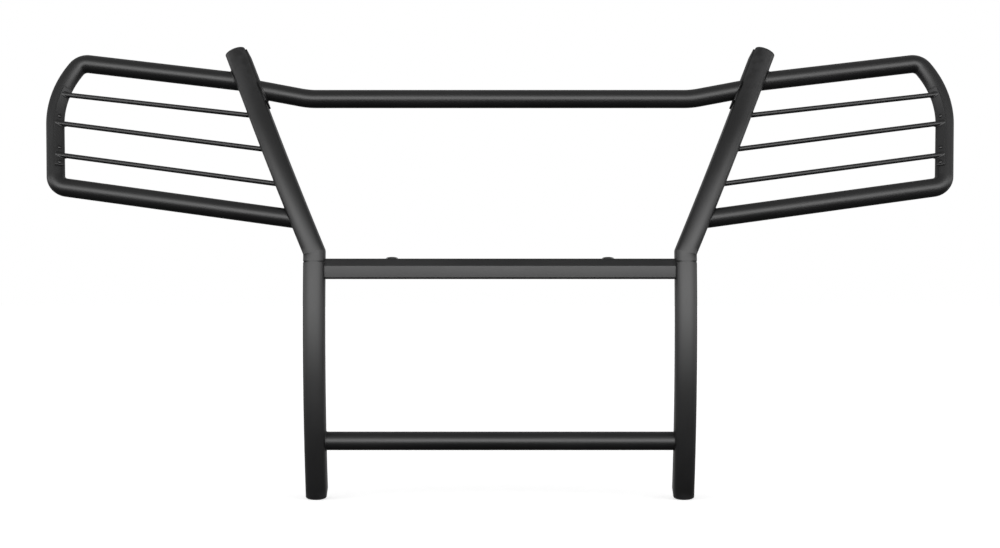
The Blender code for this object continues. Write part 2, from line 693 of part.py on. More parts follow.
def build_bolt(side, name, seat, zinc):
    """Hexagon head inside, shank outward through plate, bracket and nut."""
    head = hexagon(BOLT_HEAD_ACROSS_FLATS, SMALL_FACETS)
    shank = circle(BOLT_DIAMETER / 2, SMALL_FACETS)
    grip = PLATE_THICKNESS + BRACKET_THICKNESS + 3 * GAP
    levels = [(head, -BOLT_HEAD_HEIGHT), (head, 0.0), (shank, 0.0), (shank, grip + BOLT_PROJECTION)]
    rings = [place_ring(flat, (0, 0, level), (1, 0, 0), (0, 1, 0)) for flat, level in levels]
    add_object(name, solid_from_rings(rings), zinc, matrix=axis_matrix(seat, (1, 0, 0), side))


def build_nut(side, name, seat, zinc):
    outside = hexagon(BOLT_HEAD_ACROSS_FLATS, SMALL_FACETS)
    inside = circle(BOLT_DIAMETER / 2 + GAP, SMALL_FACETS)
    walls = [[place_ring(flat, (0, 0, level), (1, 0, 0), (0, 1, 0)) for level in (0.0, NUT_HEIGHT)]
             for flat in (outside, inside)]
    add_object(name, hollow_from_rings(*walls), zinc, matrix=axis_matrix(seat, (1, 0, 0), side))


# ---------------------------------------------------------------- origin
def move_origin_to_bottom_centre():
    """Moves every object by one vector, so that the box stands centred on the origin."""
    depsgraph = bpy.context.evaluated_depsgraph_get()
    corners = []
    for obj in made:
        evaluated = obj.evaluated_get(depsgraph)
        mesh = evaluated.to_mesh()
        corners += [obj.matrix_world @ vertex.co for vertex in mesh.vertices]
        evaluated.to_mesh_clear()
    corners = np.array(corners)
    low, high = corners.min(axis=0), corners.max(axis=0)
    shift = Vector((0.0, -(low[1] + high[1]) / 2, -low[2]))
    for obj in made + cutters:
        obj.matrix_world = Matrix.Translation(shift) @ obj.matrix_world
    print("moved by", tuple(round(v, 6) for v in shift), "size", (high - low).round(5))


def main():
    for obj in list(bpy.data.objects):
        bpy.data.objects.remove(obj, do_unlink=True)
    paint = make_material("powder_coat", (0.018, 0.018, 0.019), 0.38, 0.0)
    plastic = make_material("black_plastic", (0.016, 0.016, 0.016), 0.50, 0.0)
    dark = make_material("black_screw", (0.020, 0.020, 0.021), 0.32, 0.6)
    zinc = make_material("zinc_steel", (0.55, 0.55, 0.53), 0.35, 1.0)
    build_lower_tube(paint)
    build_upper_tube(paint)
    build_bar(paint, plastic)
    for side, prefix in ((-1, "left_"), (1, "right_")):
        build_upright(side, prefix, paint, plastic)
        build_joint_plate(side, prefix, paint)
        build_wing(side, prefix, paint, dark)
        build_mounting(side, prefix, paint, zinc)
    move_origin_to_bottom_centre()


main()
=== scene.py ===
# %% [markdown]
# # A front grille guard, dressed for the studio
#
# The guard is a welded steel frame that is bolted to the front of a pickup truck: two rolled
# uprights, two cross tubes, a folded bar for lamps between the uprights, and a bent tube with
# three rods on each side that shields a headlamp.
#
# The solids of the guard are already designed and packed. This notebook loads them as a fixed
# frame, then gives every one of them a fine surface and a procedural finish. Nothing moves: the
# design decides where each piece is, and the surfaces here are worked out from the same sizes.

# %% Load the frame
import math

import bpy
import numpy as np
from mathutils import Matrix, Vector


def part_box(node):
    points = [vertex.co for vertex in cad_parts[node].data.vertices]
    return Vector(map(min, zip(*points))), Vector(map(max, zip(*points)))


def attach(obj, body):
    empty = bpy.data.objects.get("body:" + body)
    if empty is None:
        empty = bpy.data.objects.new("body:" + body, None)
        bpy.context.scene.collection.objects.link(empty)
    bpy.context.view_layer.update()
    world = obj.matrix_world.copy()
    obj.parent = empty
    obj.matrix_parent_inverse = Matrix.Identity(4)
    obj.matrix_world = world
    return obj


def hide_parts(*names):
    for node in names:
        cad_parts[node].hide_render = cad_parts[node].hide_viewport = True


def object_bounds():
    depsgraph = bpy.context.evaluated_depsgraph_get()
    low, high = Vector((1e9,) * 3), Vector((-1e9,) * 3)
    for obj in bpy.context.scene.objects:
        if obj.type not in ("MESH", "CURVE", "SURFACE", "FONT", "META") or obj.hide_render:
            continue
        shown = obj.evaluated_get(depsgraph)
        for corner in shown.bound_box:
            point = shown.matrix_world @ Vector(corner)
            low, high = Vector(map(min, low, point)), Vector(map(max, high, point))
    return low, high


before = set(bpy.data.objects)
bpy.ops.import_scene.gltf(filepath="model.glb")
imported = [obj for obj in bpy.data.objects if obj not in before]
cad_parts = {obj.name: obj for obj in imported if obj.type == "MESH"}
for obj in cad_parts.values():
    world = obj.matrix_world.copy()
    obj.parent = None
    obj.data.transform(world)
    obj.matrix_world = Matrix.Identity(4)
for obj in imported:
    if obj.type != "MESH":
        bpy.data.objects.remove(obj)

cad_low, cad_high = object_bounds()
print("nodes:", len(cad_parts), "size:", [round(v, 4) for v in cad_high - cad_low])

# %% [markdown]
# ## The sizes of the design
#
# A surface that should lie exactly where a solid lies has to start from the same numbers. These
# are the driving sizes in metres, with +X to the right as seen from in front, +Y towards the
# truck and +Z up. The design was drawn with the front of the uprights at Y = 0, and was then moved
# so that its origin is the bottom centre of its box. The lamp bar's box tells how far.

# %% Driving sizes of the uprights
GAP = 0.0003
UPRIGHT_WIDTH, UPRIGHT_DEPTH, UPRIGHT_WALL = 0.0432, 0.060, 0.003
CROWN_DEPTH, REAR_CORNER_RADIUS = 0.015, 0.006
UPRIGHT_CENTRE = 0.3786
ROLL_RADIUS, VERTICAL_HEIGHT = 0.90, 0.370
SEAM_HEIGHT, BEND_HEIGHT = 0.4916, 0.509
OUTWARD_ANGLE, TOP_LEAN = math.radians(22.9), math.radians(27.0)
ARM_HEIGHT = 0.9385
CAP_FLANGE, CAP_PLUG, LEG_STRAIGHT_END = 0.003, 0.012, 0.020
HALF_WIDTH, MID_DEPTH = UPRIGHT_WIDTH / 2, UPRIGHT_DEPTH / 2
print("upright section:", UPRIGHT_WIDTH, "by", UPRIGHT_DEPTH, "m, rolled on", ROLL_RADIUS, "m")

# %% Driving sizes of the tubes, the wings and the rods
TUBE_RADIUS, TUBE_WALL = 0.0381 / 2, 0.0025
LOWER_TUBE_HEIGHT, UPPER_TUBE_HEIGHT = 0.1230, 0.8306
UPPER_TUBE_KNEE, UPPER_TUBE_RISE, UPPER_TUBE_BEND = 0.3996, math.radians(10.6), 0.18
JOINT_PLATE_THICKNESS, JOINT_PLATE_BOTTOM, JOINT_PLATE_MARGIN = 0.003, 0.8097, 0.001
WING_TOP_JOIN, WING_BOTTOM_JOIN = 0.8694, 0.5791
WING_CORNERS = [(0.8836, 0.2159, 0.9099), (0.9344, 0.1885, 0.8413), (0.9169, 0.1038, 0.6463)]
WING_RADII = [0.027, 0.196, 0.029]
STRAP_WIDTH, STRAP_THICKNESS, STRAP_TURN = 0.020, 0.0035, math.radians(32.0)
STRAP_TOP, STRAP_BOTTOM = 0.853, 0.6817
ROD_RADIUS, ROD_COUNT = 0.0103 / 2, 3
ROD_OUTER_TOP, ROD_OUTER_PITCH = 0.8374, 0.0675
ROD_INNER_TOP, ROD_INNER_PITCH = 0.7956, 0.0725
ROD_SEAT_OFFSET, ROD_END_GAP = 0.003, 0.0005
SCREW_ABOVE_ROD, SCREW_BELOW_ROD = 0.0165, 0.0145
print("tube:", 2 * TUBE_RADIUS, "m across, rods:", 2 * ROD_RADIUS, "m across")

# %% Driving sizes of the lamp bar and the mounting hardware
BAR_FRONT, BAR_DEPTH, BAR_SHEET = 0.022, 0.040, 0.003
BAR_BOTTOM, BAR_BREAK, BAR_TOP, BAR_SLOPE_DEPTH = 0.4546, 0.4812, 0.4964, 0.008
PLUG_SPACING, PLUG_SETBACK = 0.441, 0.024
PLATE_OFFSET, PLATE_THICKNESS, PLATE_BACK = 0.0015, 0.006, 0.150
PLATE_X = UPRIGHT_CENTRE + PLATE_OFFSET
PLATE_BOTTOM, PLATE_TOP, PLATE_CORNER = 0.130, 0.350, 0.012
BRACKET_THICKNESS, BRACKET_FRONT, BRACKET_BACK, BRACKET_FLANGE = 0.006, 0.098, 0.200, 0.029
BRACKET_BOTTOM, BRACKET_TOP, SLOT_LENGTH = 0.150, 0.330, 0.030
BOLT_BACK, BOLT_SPACING, BOLT_DIAMETER, BOLT_CLEARANCE = 0.124, 0.100, 0.012, 0.0005
HEX_ACROSS_FLATS, HEAD_HEIGHT, NUT_HEIGHT, BOLT_PROJECTION = 0.018, 0.0075, 0.0105, 0.013

bar_low, bar_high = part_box("lamp_bar")
SHIFT = np.array((0.0, bar_low.y - BAR_FRONT, bar_high.z - BAR_TOP))
print("the design was moved by", SHIFT.round(5))

# %% [markdown]
# ## Camera, floor and light
#
# A studio picture of a black, semi-gloss object is a picture of its lights: the paint itself is
# nearly black, and what shows its shape is the broad pale shape that each face mirrors. One could
# hang area lights round the object. A sky that changes with direction does the same without edges.
# A broad bright patch in front, from the horizon to half way up, gives the tubes their highlight.
# Lower patches at both sides and a weak one behind draw the edges. Overhead it is dim, and below
# the horizon nearly dark, so that undersides stay black. The camera sees plain white instead.

# %% Camera
CAMERA_DISTANCE, CAMERA_HEIGHT, LENS = 4.910, 0.4646, 87.4


def new_object(name, data):
    """An object that shows a mesh or a camera, put in the scene."""
    thing = bpy.data.objects.new(name, data)
    bpy.context.scene.collection.objects.link(thing)
    return thing


camera_data = bpy.data.cameras.new("camera")
camera_data.lens = LENS
camera = new_object("camera", camera_data)
camera.location = (0.0, cad_low.y - CAMERA_DISTANCE, CAMERA_HEIGHT)
camera.rotation_euler = (math.pi / 2, 0.0, 0.0)
bpy.context.scene.camera = camera
bpy.context.scene.view_settings.view_transform = "Standard"
print("camera at", [round(v, 4) for v in camera.location])


# %% Small helpers for node trees
def add_node(tree, kind, inputs=None, **settings):
    """A node of a kind, with its settings, and its inputs linked or set by name or number."""
    node = tree.nodes.new(kind)
    for key, value in settings.items():
        setattr(node, key, value)
    for key, value in (inputs or {}).items():
        if isinstance(value, bpy.types.NodeSocket):
            tree.links.new(value, node.inputs[key])
        else:
            node.inputs[key].default_value = value
    return node


def smooth_range(tree, value, low, high):
    """0 below low, 1 above high, with a smooth step between."""
    node = add_node(tree, "ShaderNodeMapRange", {0: value, 1: low, 2: high},
                    interpolation_type="SMOOTHSTEP", clamp=True)
    return node.outputs[0]


def arithmetic(tree, operation, first, second):
    return add_node(tree, "ShaderNodeMath", {0: first, 1: second}, operation=operation).outputs[0]


def mix_values(tree, share, first, second):
    return add_node(tree, "ShaderNodeMix", {0: share, 2: first, 3: second}, data_type="FLOAT").outputs[0]


def mix_colours(tree, share, first, second):
    return add_node(tree, "ShaderNodeMix", {0: share, 6: first, 7: second}, data_type="RGBA").outputs[2]


# %% Sky
# Starts and ends are heights, and reaches are how far a direction points to the front. Each is a
# pair: where the light begins to change, and where it has changed.
WHITE = (1.0, 1.0, 1.0, 1.0)
SKY_BASE = 0.012
SKY_TOP, TOP_START = 0.36, (0.05, 0.60)
SKY_FRONT, FRONT_START, FRONT_END, FRONT_REACH = 4.9, (-0.22, 0.02), (0.20, 0.68), (-0.05, 0.95)
SKY_SIDES, SIDES_START, SIDES_END, SIDES_REACH = 2.6, (-0.22, 0.02), (0.05, 0.36), (-0.72, -0.05)
SKY_REAR, REAR_START, REAR_END, REAR_REACH = 0.26, (-0.75, -0.25), (0.25, 0.55), (0.0, -0.6)

world = bpy.data.worlds.new("studio")
bpy.context.scene.world = world
world.use_nodes = True
sky = world.node_tree
sky.nodes.clear()
direction = add_node(sky, "ShaderNodeSeparateXYZ",
                     {0: add_node(sky, "ShaderNodeTexCoord").outputs["Generated"]})
up, to_front = direction.outputs["Z"], arithmetic(sky, "MULTIPLY", direction.outputs["Y"], -1.0)


def patch(start, end, reach, power):
    """One broad light: begins and ends at given heights, and fades along one level direction."""
    not_ended = arithmetic(sky, "SUBTRACT", 1.0, smooth_range(sky, up, *end))
    tall = arithmetic(sky, "MULTIPLY", smooth_range(sky, up, *start), not_ended)
    here = arithmetic(sky, "MULTIPLY", tall, smooth_range(sky, to_front, *reach))
    return arithmetic(sky, "MULTIPLY", here, power)


bands = arithmetic(sky, "MAXIMUM", patch(FRONT_START, FRONT_END, FRONT_REACH, SKY_FRONT),
                   patch(SIDES_START, SIDES_END, SIDES_REACH, SKY_SIDES))
bands = arithmetic(sky, "MAXIMUM", bands, patch(REAR_START, REAR_END, REAR_REACH, SKY_REAR))
overhead = arithmetic(sky, "MULTIPLY", smooth_range(sky, up, *TOP_START), SKY_TOP)
strength = arithmetic(sky, "ADD", arithmetic(sky, "MAXIMUM", bands, overhead), SKY_BASE)
lit = add_node(sky, "ShaderNodeBackground", {"Color": WHITE, "Strength": strength})
plain = add_node(sky, "ShaderNodeBackground", {"Color": WHITE, "Strength": 1.0})
seen = add_node(sky, "ShaderNodeLightPath").outputs["Is Camera Ray"]
mixed = add_node(sky, "ShaderNodeMixShader", {0: seen, 1: lit.outputs[0], 2: plain.outputs[0]})
add_node(sky, "ShaderNodeOutputWorld", {"Surface": mixed.outputs[0]})
print("sky: front", SKY_FRONT, "sides", SKY_SIDES, "rear", SKY_REAR, "top", SKY_TOP, "base", SKY_BASE)

# %% Floor
FLOOR_HALF, FLOOR_COLOUR, FLOOR_GLOW = 30.0, (0.86, 0.86, 0.86, 1.0), 0.55
floor_mesh = bpy.data.meshes.new("floor")
floor_corners = [(x * FLOOR_HALF, y * FLOOR_HALF, 0.0) for x, y in ((-1, -1), (1, -1), (1, 1), (-1, 1))]
floor_mesh.from_pydata(floor_corners, [], [(0, 1, 2, 3)])
floor = new_object("floor", floor_mesh)
floor_paint = bpy.data.materials.new("floor_paint")
floor_paint.use_nodes = True
floor_shader = floor_paint.node_tree.nodes["Principled BSDF"]
for name, value in {"Base Color": FLOOR_COLOUR, "Roughness": 1.0, "Emission Color": WHITE,
                    "Emission Strength": FLOOR_GLOW}.items():
    floor_shader.inputs[name].default_value = value
floor_mesh.materials.append(floor_paint)
floor.visible_glossy = floor.visible_diffuse = floor.visible_shadow = False
print("floor:", 2 * FLOOR_HALF, "m square")

# %% [markdown]
# ## Finishes
#
# Powder coat is a thermoset film that is sprayed as dust and baked. It flows a little and stops, so
# its skin keeps a shallow orange-peel waviness a few millimetres wide under a finer one, and it
# draws back from sharp edges. Convex edges are painted paler: partly the thinner coat, partly a
# painted highlight along each edge. A single dark colour would look like plastic film. Three things
# are made once as node groups and used by every finish with their own values: a cloudy change of
# tone, a two-scale grain for the bump, and a mask of thin edges that also places the painted highlight.


# %% Node groups: tone, grain, and thin edges with a painted highlight
def new_group(name, inputs, outputs):
    """An empty shader group; inputs and outputs are (name, socket type, default)."""
    group = bpy.data.node_groups.new(name, "ShaderNodeTree")
    for direction_name, sockets in (("INPUT", inputs), ("OUTPUT", outputs)):
        for label, kind, default in sockets:
            socket = group.interface.new_socket(label, in_out=direction_name, socket_type=kind)
            if default is not None:
                socket.default_value = default
    return group, group.nodes.new("NodeGroupInput"), group.nodes.new("NodeGroupOutput")


def noise(tree, scale, detail, roughness=0.5):
    where = add_node(tree, "ShaderNodeTexCoord").outputs["Object"]
    node = add_node(tree, "ShaderNodeTexNoise",
                    {"Vector": where, "Scale": scale, "Detail": detail, "Roughness": roughness})
    return node.outputs[0]


FLOAT, COLOUR = "NodeSocketFloat", "NodeSocketColor"
NOISE_SPREAD = (0.30, 0.70)

tone_group, source, sink = new_group(
    "tone", [("Dark", COLOUR, (0, 0, 0, 1)), ("Pale", COLOUR, (1, 1, 1, 1)),
             ("Cloud Scale", FLOAT, 6.0), ("Speck Scale", FLOAT, 700.0), ("Speck Share", FLOAT, 0.3)],
    [("Colour", COLOUR, None), ("Cloud", FLOAT, None)])
cloud = noise(tone_group, source.outputs["Cloud Scale"], 3.0)
speck = noise(tone_group, source.outputs["Speck Scale"], 1.0)
share = mix_values(tone_group, source.outputs["Speck Share"], cloud, speck)
spread_out = smooth_range(tone_group, share, *NOISE_SPREAD)
tinted = mix_colours(tone_group, spread_out, source.outputs["Dark"], source.outputs["Pale"])
tone_group.links.new(tinted, sink.inputs["Colour"])
tone_group.links.new(cloud, sink.inputs["Cloud"])

grain_group, source, sink = new_group(
    "grain", [("Coarse Scale", FLOAT, 300.0), ("Fine Scale", FLOAT, 1400.0), ("Fine Share", FLOAT, 0.3)],
    [("Height", FLOAT, None)])
coarse = noise(grain_group, source.outputs["Coarse Scale"], 1.0)
fine = noise(grain_group, source.outputs["Fine Scale"], 2.0)
height = mix_values(grain_group, source.outputs["Fine Share"], coarse, fine)
grain_group.links.new(height, sink.inputs["Height"])

# Convex edges found by pointiness: the paler colour there is partly a thinner coat, partly a painted
# highlight.
pale_edge_highlight_group, source, sink = new_group(
    "edge_thinning_and_highlight", [("Start", FLOAT, 0.52), ("Full", FLOAT, 0.62), ("Breakup Scale", FLOAT, 60.0)],
    [("Mask", FLOAT, None)])
pointed = add_node(pale_edge_highlight_group, "ShaderNodeNewGeometry").outputs["Pointiness"]
pointed = add_node(pale_edge_highlight_group, "ShaderNodeMapRange",
                   {0: pointed, 1: source.outputs["Start"], 2: source.outputs["Full"]},
                   interpolation_type="SMOOTHSTEP").outputs[0]
broken = smooth_range(pale_edge_highlight_group, noise(pale_edge_highlight_group, source.outputs["Breakup Scale"], 2.0), 0.35, 0.6)
pale_edge_highlight_group.links.new(arithmetic(pale_edge_highlight_group, "MULTIPLY", pointed, broken), sink.inputs["Mask"])
print("node groups:", tone_group.name, grain_group.name, pale_edge_highlight_group.name)


# %% Finish builder
def place_group(tree, group, **values):
    node = add_node(tree, "ShaderNodeGroup", node_tree=group)
    for key, value in values.items():
        node.inputs[key.replace("_", " ").title()].default_value = value
    return node


def make_finish(name, dark, pale, edge, pale_edge_and_highlight_share, roughness, metallic, grain, bump, cloud_scale=6.0):
    """A Principled surface: cloudy tone, paler thin edges that are partly a painted highlight, uneven gloss
    and a two-scale bump.

    roughness is its lowest and highest value, grain the coarse scale, fine scale and fine share,
    and bump the strength and the height in metres.
    """
    material = bpy.data.materials.new(name)
    material.use_nodes = True
    tree = material.node_tree
    shader = tree.nodes["Principled BSDF"]
    tone = place_group(tree, tone_group, dark=(*dark, 1.0), pale=(*pale, 1.0), cloud_scale=cloud_scale)
    # Mixes the edge colour in on convex edges: partly a thinner coat, partly a painted highlight.
    mask = place_group(tree, pale_edge_highlight_group)
    amount = arithmetic(tree, "MULTIPLY", mask.outputs["Mask"], pale_edge_and_highlight_share)
    colour = mix_colours(tree, amount, tone.outputs["Colour"], (*edge, 1.0))
    tree.links.new(colour, shader.inputs["Base Color"])
    gloss = add_node(tree, "ShaderNodeMapRange",
                     {0: tone.outputs["Cloud"], 1: NOISE_SPREAD[0], 2: NOISE_SPREAD[1],
                      3: roughness[0], 4: roughness[1]})
    tree.links.new(gloss.outputs[0], shader.inputs["Roughness"])
    shader.inputs["Metallic"].default_value = metallic
    relief = place_group(tree, grain_group, coarse_scale=grain[0], fine_scale=grain[1],
                         fine_share=grain[2])
    bumped = add_node(tree, "ShaderNodeBump", {"Height": relief.outputs["Height"],
                                               "Strength": bump[0], "Distance": bump[1]})
    tree.links.new(bumped.outputs[0], shader.inputs["Normal"])
    return material


# %% Four finishes
# edge is each finish's paler colour on convex edges: partly its thinner coat, partly a painted highlight.
powder_coat = make_finish(
    "powder_coat_finish", dark=(0.0040, 0.0040, 0.0042), pale=(0.0065, 0.0065, 0.0068),
    edge=(0.020, 0.020, 0.021), pale_edge_and_highlight_share=0.6, roughness=(0.36, 0.42), metallic=0.0,
    grain=(320.0, 1500.0, 0.25), bump=(0.35, 0.00012))
black_plastic = make_finish(
    "black_plastic_finish", dark=(0.010, 0.010, 0.0105), pale=(0.016, 0.016, 0.0165),
    edge=(0.028, 0.028, 0.028), pale_edge_and_highlight_share=0.4, roughness=(0.46, 0.54), metallic=0.0,
    grain=(1100.0, 3200.0, 0.5), bump=(0.5, 0.0001))
black_screw = make_finish(
    "black_screw_finish", dark=(0.0020, 0.0020, 0.0022), pale=(0.0045, 0.0044, 0.0043),
    edge=(0.040, 0.040, 0.040), pale_edge_and_highlight_share=0.5, roughness=(0.20, 0.30), metallic=0.0,
    grain=(900.0, 2600.0, 0.4), bump=(0.25, 0.00006))
zinc_steel = make_finish(
    "zinc_steel_finish", dark=(0.46, 0.47, 0.48), pale=(0.60, 0.60, 0.57),
    edge=(0.70, 0.70, 0.69), pale_edge_and_highlight_share=0.6, roughness=(0.30, 0.42), metallic=1.0,
    grain=(700.0, 2400.0, 0.4), bump=(0.3, 0.00006), cloud_scale=90.0)
print("finishes:", [m.name for m in (powder_coat, black_plastic, black_screw, zinc_steel)])

# %% [markdown]
# ## From arrays to meshes
#
# Every piece here is a grid of points: rows of one closed outline, carried along a path. With the
# points in one array of shape (rows, columns, 3), the faces are index arithmetic on whole arrays.
# A solid bar closes its two end rows with a flat face. A tube with a wall goes up outside and comes
# back down inside, so its rows join up in a loop and need no ends. The same test serves all: if
# the volume comes out negative, the faces look inwards and are turned round.


# %% Grid to mesh
def grid_faces(rows, columns, loop):
    """Four corners per face: row and column numbers, and their neighbours', as one table."""
    row = np.arange(rows if loop else rows - 1)[:, None]
    column = np.arange(columns)[None, :]
    after_row, after_column = (row + 1) % rows, (column + 1) % columns
    corners = [row * columns + column, row * columns + after_column,
               after_row * columns + after_column, after_row * columns + column]
    return np.stack(corners, axis=-1).reshape(-1, 4)


def signed_volume(points, quads):
    """Sum of the volumes of the cones from the middle to each face, by cross products."""
    corner = (points - points.mean(axis=0))[quads]
    first = np.cross(corner[:, 1] - corner[:, 0], corner[:, 2] - corner[:, 0])
    second = np.cross(corner[:, 2] - corner[:, 0], corner[:, 3] - corner[:, 0])
    return float(np.einsum("ij,ij->", corner[:, 0], first + second)) / 6


SHARP_ANGLE = math.radians(32)
made = {"pieces": 0, "triangles": 0}


def closed_mesh(name, rings, side, loop):
    """Rings (rows, columns, 3) as a closed mesh that faces outward, mirrored for side -1."""
    rings = np.asarray(rings) * (side, 1, 1) + SHIFT
    rows, columns, _ = rings.shape
    points = rings.reshape(-1, 3)
    quads = grid_faces(rows, columns, loop)
    ends = [np.arange(columns)[::-1], (rows - 1) * columns + np.arange(columns)]
    if signed_volume(points, quads) < 0:
        quads, ends = quads[:, ::-1], [end[::-1] for end in ends]
    faces = quads.tolist() + ([] if loop else [end.tolist() for end in ends])
    mesh = bpy.data.meshes.new(name)
    mesh.from_pydata(points.tolist(), [], faces)
    return mesh


def add_piece(node, rings, finish, side=1, loop=False):
    """Puts rings in the scene as one closed surface that stands for one solid of the design."""
    name = node + "_surface"
    mesh = closed_mesh(name, rings, side, loop)
    mesh.validate()
    mesh.shade_smooth()
    mesh.set_sharp_from_angle(angle=SHARP_ANGLE)
    mesh.materials.append(finish)
    piece = new_object(name, mesh)
    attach(piece, "root")
    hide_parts(node)
    made["pieces"] += 1
    made["triangles"] += sum(len(polygon.vertices) - 2 for polygon in mesh.polygons)
    return piece


SIDES = ((-1, "left_"), (1, "right_"))


def add_both(name, rings, finish, loop=False):
    """The same rings on the right side and, mirrored, on the left."""
    return [add_piece(prefix + name, rings, finish, side, loop) for side, prefix in SIDES]


print("sides:", [prefix for _, prefix in SIDES])


# %% Outlines
def circle(radius, count):
    turn = np.arange(count) * 2 * np.pi / count
    return radius * np.column_stack((np.cos(turn), np.sin(turn)))


def hexagon(across_flats, count):
    """A hexagon at the turns of circle(): the reach to a flat grows with 1 over the cosine."""
    turn = np.arange(count) * 2 * np.pi / count
    off_flat = (turn + np.pi / 6) % (np.pi / 3) - np.pi / 6
    return (across_flats / 2 / np.cos(off_flat))[:, None] * np.column_stack((np.cos(turn), np.sin(turn)))


def inset_outline(outline, amount):
    """Each point moved in along the mean of its two edges' normals, as a mitre does."""
    edge = np.roll(outline, -1, axis=0) - outline
    normal = np.column_stack((edge[:, 1], -edge[:, 0])) / np.linalg.norm(edge, axis=1)[:, None]
    before = np.roll(normal, 1, axis=0)
    lean = 1 + np.einsum("ij,ij->i", normal, before)
    area = np.einsum("i,i->", outline[:, 0], np.roll(outline[:, 1], -1))
    area -= np.einsum("i,i->", outline[:, 1], np.roll(outline[:, 0], -1))
    return outline - np.sign(area) * amount * (normal + before) / lean[:, None]


def unit(vector):
    return np.asarray(vector, dtype=float) / np.linalg.norm(vector)


def fillet(before, corner, after, radius, steps=6, step=None):
    """Points and directions of the arc tangent to both edges of a corner, in steps or by an angle."""
    come, go = unit(corner - before), unit(after - corner)
    angle = math.acos(np.clip(come @ go, -1, 1))
    inward = unit(go - come * (come @ go))
    start = corner - come * radius * math.tan(angle / 2)
    turn = np.linspace(0, angle, max(3, math.ceil(angle / step)) if step else steps)[:, None]
    points = start + inward * radius * (1 - np.cos(turn)) + come * radius * np.sin(turn)
    return points, come * np.cos(turn) + inward * np.sin(turn)


def rounded_outline(corners, radii, steps=6):
    """A closed outline whose corners are arcs: each arc is tangent to both of its edges."""
    corners = np.asarray(corners, dtype=float)
    places = zip(np.roll(corners, 1, axis=0), corners, np.roll(corners, -1, axis=0), radii)
    return np.vstack([fillet(*place, steps)[0] for place in places])


# %% [markdown]
# ## The uprights
#
# Each upright is a rolled section with a crowned front, about 4 cm wide and 6 cm deep. It is
# rolled back at the bottom and at the top on one radius. A leg and an arm are butt welded just above
# the lamp bar, and the arm is bent outward there. The bend is nearly sharp on its inner side and a
# little rounder on its outer one, as metal does when it is folded about a small former.
#
# One could bend a straight extrusion with modifiers. Here the section is written as a formula, and
# each row of the grid is that section put at its own lean or turn, so the surface has no facets and
# lies exactly on the solid.

# %% The upright's section
CROWN_POINTS, CORNER_POINTS = 49, 7
SMALLEST_CORNER = 0.001


def upright_outline(inset=0.0):
    """(across, depth): half an ellipse in front, straight sides, quarter circles behind."""
    half = HALF_WIDTH - inset
    turn = np.linspace(0, np.pi, CROWN_POINTS)
    crown = np.column_stack((-half * np.cos(turn), CROWN_DEPTH - (CROWN_DEPTH - inset) * np.sin(turn)))
    radius = max(REAR_CORNER_RADIUS - inset, SMALLEST_CORNER)
    quarter = np.linspace(0, np.pi / 2, CORNER_POINTS)
    back = UPRIGHT_DEPTH - inset - radius
    corner = np.column_stack((half - radius + radius * np.cos(quarter), back + radius * np.sin(quarter)))
    return np.vstack((crown, corner, corner[::-1] * (-1, 1)))


BOTTOM_LEAN = math.atan2(LEG_STRAIGHT_END, ROLL_RADIUS) - math.asin(
    VERTICAL_HEIGHT / math.hypot(ROLL_RADIUS, LEG_STRAIGHT_END))
SEAM_LEAN = math.asin((SEAM_HEIGHT - VERTICAL_HEIGHT) / ROLL_RADIUS)
HALF_TURN = math.tan(OUTWARD_ANGLE / 2)
BEND_MARGIN = 0.005
BEND_CLEARANCE = HALF_WIDTH * HALF_TURN + UPRIGHT_DEPTH * math.sin(SEAM_LEAN) + BEND_MARGIN
STUB_LENGTH = (BEND_HEIGHT + BEND_CLEARANCE - SEAM_HEIGHT) / math.cos(SEAM_LEAN)
ARC_LENGTH = ROLL_RADIUS * (TOP_LEAN - SEAM_LEAN)
print("section points:", len(upright_outline()), "leans:", round(math.degrees(BOTTOM_LEAN), 1),
      round(math.degrees(SEAM_LEAN), 1))


# %% Rows of the leg
def stack_rings(x, y, z):
    return np.stack(np.broadcast_arrays(x, y, z), axis=-1)


def leg_rings(outline, lean, along=0.0):
    """Each section's front is on a circle of the roll radius; the section leans with it."""
    across, depth = outline.T
    lean, along = np.broadcast_arrays(np.atleast_1d(lean), along)
    lean, along = lean[:, None], along[:, None]
    back = ROLL_RADIUS * (1 - np.cos(lean)) + along * np.sin(lean)
    up = VERTICAL_HEIGHT + ROLL_RADIUS * np.sin(lean) + along * np.cos(lean)
    return stack_rings(UPRIGHT_CENTRE + across, back + depth * np.cos(lean), up - depth * np.sin(lean))


# %% Rows of the arm
def arm_front(run):
    """Back, up and lean of the arm's front at a run above the seam: straight, arc, straight."""
    run = np.atleast_1d(run)
    stub = np.minimum(run, STUB_LENGTH)
    arc = np.clip(run - STUB_LENGTH, 0.0, ARC_LENGTH)
    rest = np.maximum(run - STUB_LENGTH - ARC_LENGTH, 0.0)
    lean = SEAM_LEAN + arc / ROLL_RADIUS
    back = ROLL_RADIUS * (1 - np.cos(lean)) + stub * math.sin(SEAM_LEAN) + rest * np.sin(lean)
    up = VERTICAL_HEIGHT + ROLL_RADIUS * np.sin(lean) + stub * math.cos(SEAM_LEAN) + rest * np.cos(lean)
    return back[:, None], up[:, None], lean[:, None]


def arm_rings(outline, run, turn=OUTWARD_ANGLE):
    """Sections at runs above the seam, turned outward about the middle of the bend."""
    across, depth = outline.T
    back, up, lean = arm_front(run)
    level = up - depth * np.sin(lean) - BEND_HEIGHT
    return stack_rings(UPRIGHT_CENTRE + across * math.cos(turn) + level * math.sin(turn),
                       back + depth * np.cos(lean),
                       BEND_HEIGHT - across * math.sin(turn) + level * math.cos(turn))


BEND_INNER_RADIUS, BEND_OUTER_RADIUS = 0.003, 0.014


